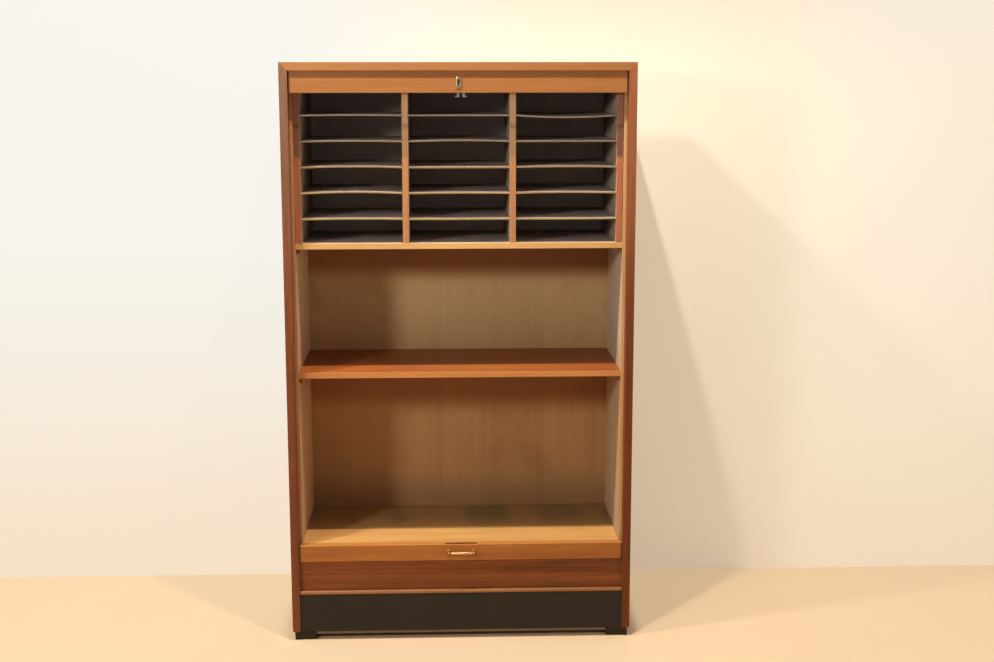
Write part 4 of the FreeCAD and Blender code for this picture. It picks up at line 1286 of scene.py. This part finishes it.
    def _canvas(self) -> None:
        """Makes the backing cloth behind the front slats and round the stored ones."""
        low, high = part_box("front_canvas")
        cloth = block(low, high)
        eased(cloth, self.cloth_round, segments=1)
        piece = self.keep(cloth, "front_backing", Dress(BACKING), ["front_canvas"])
        low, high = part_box("stored_canvas")
        piece = self.keep(self.solid("stored_canvas"), "stored_backing", Dress(BACKING), ["stored_canvas"])


@dataclass(frozen=True)
class Shade:
    """The patch of floor under the cabinet that only the lamps light."""

    half: float
    front: float
    back: float
    soft: float

    def reach(self, shader: Shader) -> Value:
        """Marks the patch.

        Args:
            shader: tree to add to.

        Returns:
            1 under the cabinet and 0 away from it.
        """
        x = shader.axis("X")
        y = shader.axis("Y")
        outer = self.half + self.soft
        beside = x.ramp(-outer, -self.half) * x.ramp(outer, self.half)
        return beside * y.ramp(self.front - self.soft, self.front) * y.ramp(self.back + self.soft, self.back)


@dataclass(frozen=True)
class Plaster:
    """Pale plaster of the floor or wall, part of which the camera sees at a brightness of its own.

    The glow goes from left to right of the cabinet, and warms towards the floor where low is given.
    These changes paint light and shade: more glow left of the cabinet washes out its shadow there,
    less glow right of it, warmer on the wall, is painted shade, and the warmer glow low on the wall
    is painted warm light.
    """

    name: str
    colour: Colour
    left: Colour
    right: Colour
    shares: Span
    low: Colour | None = None
    low_span: Span = (1.3, -0.2)
    top_span: Span = (2.1, 1.5)
    span: Span = (-0.6, 0.45)
    far_span: Span = (1.5, 0.8)
    far_share: float = 0.6
    shade: Shade | None = None
    see_through: bool = False
    mottles: Waves = Waves((1.5, 1.5, 1.5), 4.0, span=(0.3, 0.7))
    mottle_share: float = 0.95
    roughness: float = 0.85

    def build(self) -> Material:
        """Lays the plaster up, with its glow over it.

        Returns:
            The material.
        """
        shader = Shader(self.name + "_plaster")
        mottle = shader.patches(shader.place(), self.mottles)
        tint = shader.mix(mottle, scaled(self.colour, self.mottle_share), self.colour)
        shaded = shader.node("BsdfPrincipled",
                             inputs={"Base Color": tint, "Roughness": self.roughness})
        x = shader.axis("X")
        height = shader.axis("Z")
        # The glow's change across and up paints light and shade beside the cabinet.
        across = x.ramp(*self.span) * (self.far_share + x.ramp(*self.far_span) * (1.0 - self.far_share))
        glow = shader.mix(across, self.left, self.right)
        if self.low:
            glow = shader.mix(height.ramp(*self.low_span), glow, self.low)
        change = across * height.ramp(*self.top_span) * (self.shares[1] - self.shares[0])
        share = self._seen(shader) * (self.shares[0] + change)
        if self.shade:
            share = share * (1.0 - self.shade.reach(shader))
        light = shader.node("Emission", inputs={"Color": glow})
        shaded = shader.blend(share, shaded, light)
        if self.see_through:
            shaded = shader.blend(self._passed(shader), shaded, shader.node("BsdfTransparent"))
        return shader.close(shaded)

    def _seen(self, shader: Shader) -> Value:
        """Returns 1 for what the camera sees, also in metal or through glass."""
        rays = ("Is Camera Ray", "Is Glossy Ray", "Is Transmission Ray")
        return sum((shader.node("LightPath", output=ray) for ray in rays), 0.0).ramp(0.0, 1.0)

    def _passed(self, shader: Shader) -> Value:
        """Returns 1 from behind and for shadows, where the wall is clear."""
        behind = shader.node("NewGeometry", output="Backfacing")
        return (behind + shader.node("LightPath", output="Is Shadow Ray")).ramp(0.0, 1.0)


@dataclass(frozen=True)
class Lamp:
    """A round soft lamp that points at a place."""

    name: str
    place: Triple
    aim: Triple
    size: float
    power: float
    tint: Colour

    def build(self) -> None:
        """Adds the lamp to the scene."""
        data = bpy.data.lights.new(self.name, "AREA")
        data.shape = "DISK"
        data.size = self.size
        data.energy = self.power
        data.color = self.tint
        lamp = linked(self.name, data)
        lamp.location = self.place
        lamp.rotation_euler = (Vector(self.aim) - Vector(self.place)).to_track_quat("-Z", "Y").to_euler()


@dataclass
class Studio:
    """Camera, lamps, floor and wall."""

    camera_at: Triple = (-0.043, -4.50325, 1.7155)
    pitch: float = -9.865
    yaw: float = -2.053
    roll: float = -0.046
    lens: float = 52.51
    sensor: float = 36.0
    sky: Colour = (1.0, 0.96, 0.9)
    sky_strength: float = 0.3
    wall_y: float = 0.40
    reach: float = 9.0
    floor: Plaster = Plaster("floor", srgb(218, 188, 152), srgb(245, 215, 174), srgb(246, 215, 174),
                             (0.7, 0.52), shade=Shade(0.53, -0.23, 0.23, 0.05))
    wall: Plaster = Plaster("wall", srgb(248, 246, 230), srgb(243, 242, 235), srgb(252, 232, 204),
                            (0.96, 0.42), low=srgb(247, 224, 196), see_through=True)
    lamps: tuple[Lamp, ...] = (
        Lamp("ceiling_lamp", (0.04, -0.83, 3.4), (0.0, -0.30, 0.6), 0.07, 66.0, (1.0, 0.88, 0.74)),
        Lamp("side_lamp", (-1.28, -0.86, 3.4), (0.0, -0.30, 0.6), 0.2, 62.0, (1.0, 1.0, 0.93)),
        Lamp("left_lamp", (-2.45, -3.1, 2.2), (0.0, -0.2, 0.9), 0.5, 61.0, (1.0, 0.95, 0.88)),
        Lamp("right_fill", (2.5, -1.5, 1.2), (-0.4, 0.0, 1.0), 1.2, 10.5, (1.0, 0.7, 0.55)),
        Lamp("rear_lamp", (0.9, 3.2, 2.6), (0.0, 0.2, 0.9), 1.0, 25.0, (1.0, 0.94, 0.86)),
    )

    def build(self) -> None:
        """Sets up the whole studio."""
        self._camera()
        self._stage()
        for lamp in self.lamps:
            lamp.build()
        self._world()
        bpy.context.scene.view_settings.view_transform = "Standard"

    def _camera(self) -> None:
        """Places the camera at the photograph's point of view."""
        data = bpy.data.cameras.new("camera")
        data.sensor_fit = "HORIZONTAL"
        data.sensor_width = self.sensor
        data.lens = self.lens
        camera = linked("camera", data)
        turn = Matrix.Rotation(math.radians(self.yaw), 4, "Z")
        tilt = Matrix.Rotation(math.radians(90 + self.pitch), 4, "X")
        lean = Matrix.Rotation(math.radians(self.roll), 4, "Z")
        camera.matrix_world = Matrix.Translation(self.camera_at) @ turn @ tilt @ lean
        bpy.context.scene.camera = camera

    def _world(self) -> None:
        """Sets an even warm light all round."""
        world = bpy.data.worlds.new("studio")
        bpy.context.scene.world = world
        world.use_nodes = True
        background = world.node_tree.nodes["Background"]
        background.inputs["Color"].default_value = (*self.sky, 1.0)
        background.inputs["Strength"].default_value = self.sky_strength

    def _stage(self) -> None:
        """Makes the floor and a wall that is seen only from its front."""
        upright = Matrix.Translation((0, self.wall_y, 0)) @ Matrix.Rotation(math.radians(90), 4, "X")
        self._plane(self.floor, Matrix.Identity(4))
        self._plane(self.wall, upright)

    def _plane(self, plaster: Plaster, place: Matrix) -> Object:
        """Makes a large square sheet of plaster.

        Args:
            plaster: its finish and name.
            place: where it lies.

        Returns:
            The new object.
        """
        mesh = bmesh.new()
        bmesh.ops.create_grid(mesh, x_segments=1, y_segments=1, size=self.reach, matrix=place)
        data = bpy.data.meshes.new(plaster.name)
        mesh.to_mesh(data)
        mesh.free()
        data.materials.append(plaster.build())
        return linked(plaster.name, data)


def main() -> None:
    """Builds the dressed cabinet and its studio."""
    logging.basicConfig(level=logging.INFO, format="%(message)s")
    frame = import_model()
    for assembly in (Carcass, Base, Pigeonholes, Lock, Shutter):
        assembly(frame).build()
    Studio().build()
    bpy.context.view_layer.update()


if __name__ == "__main__":
    main()
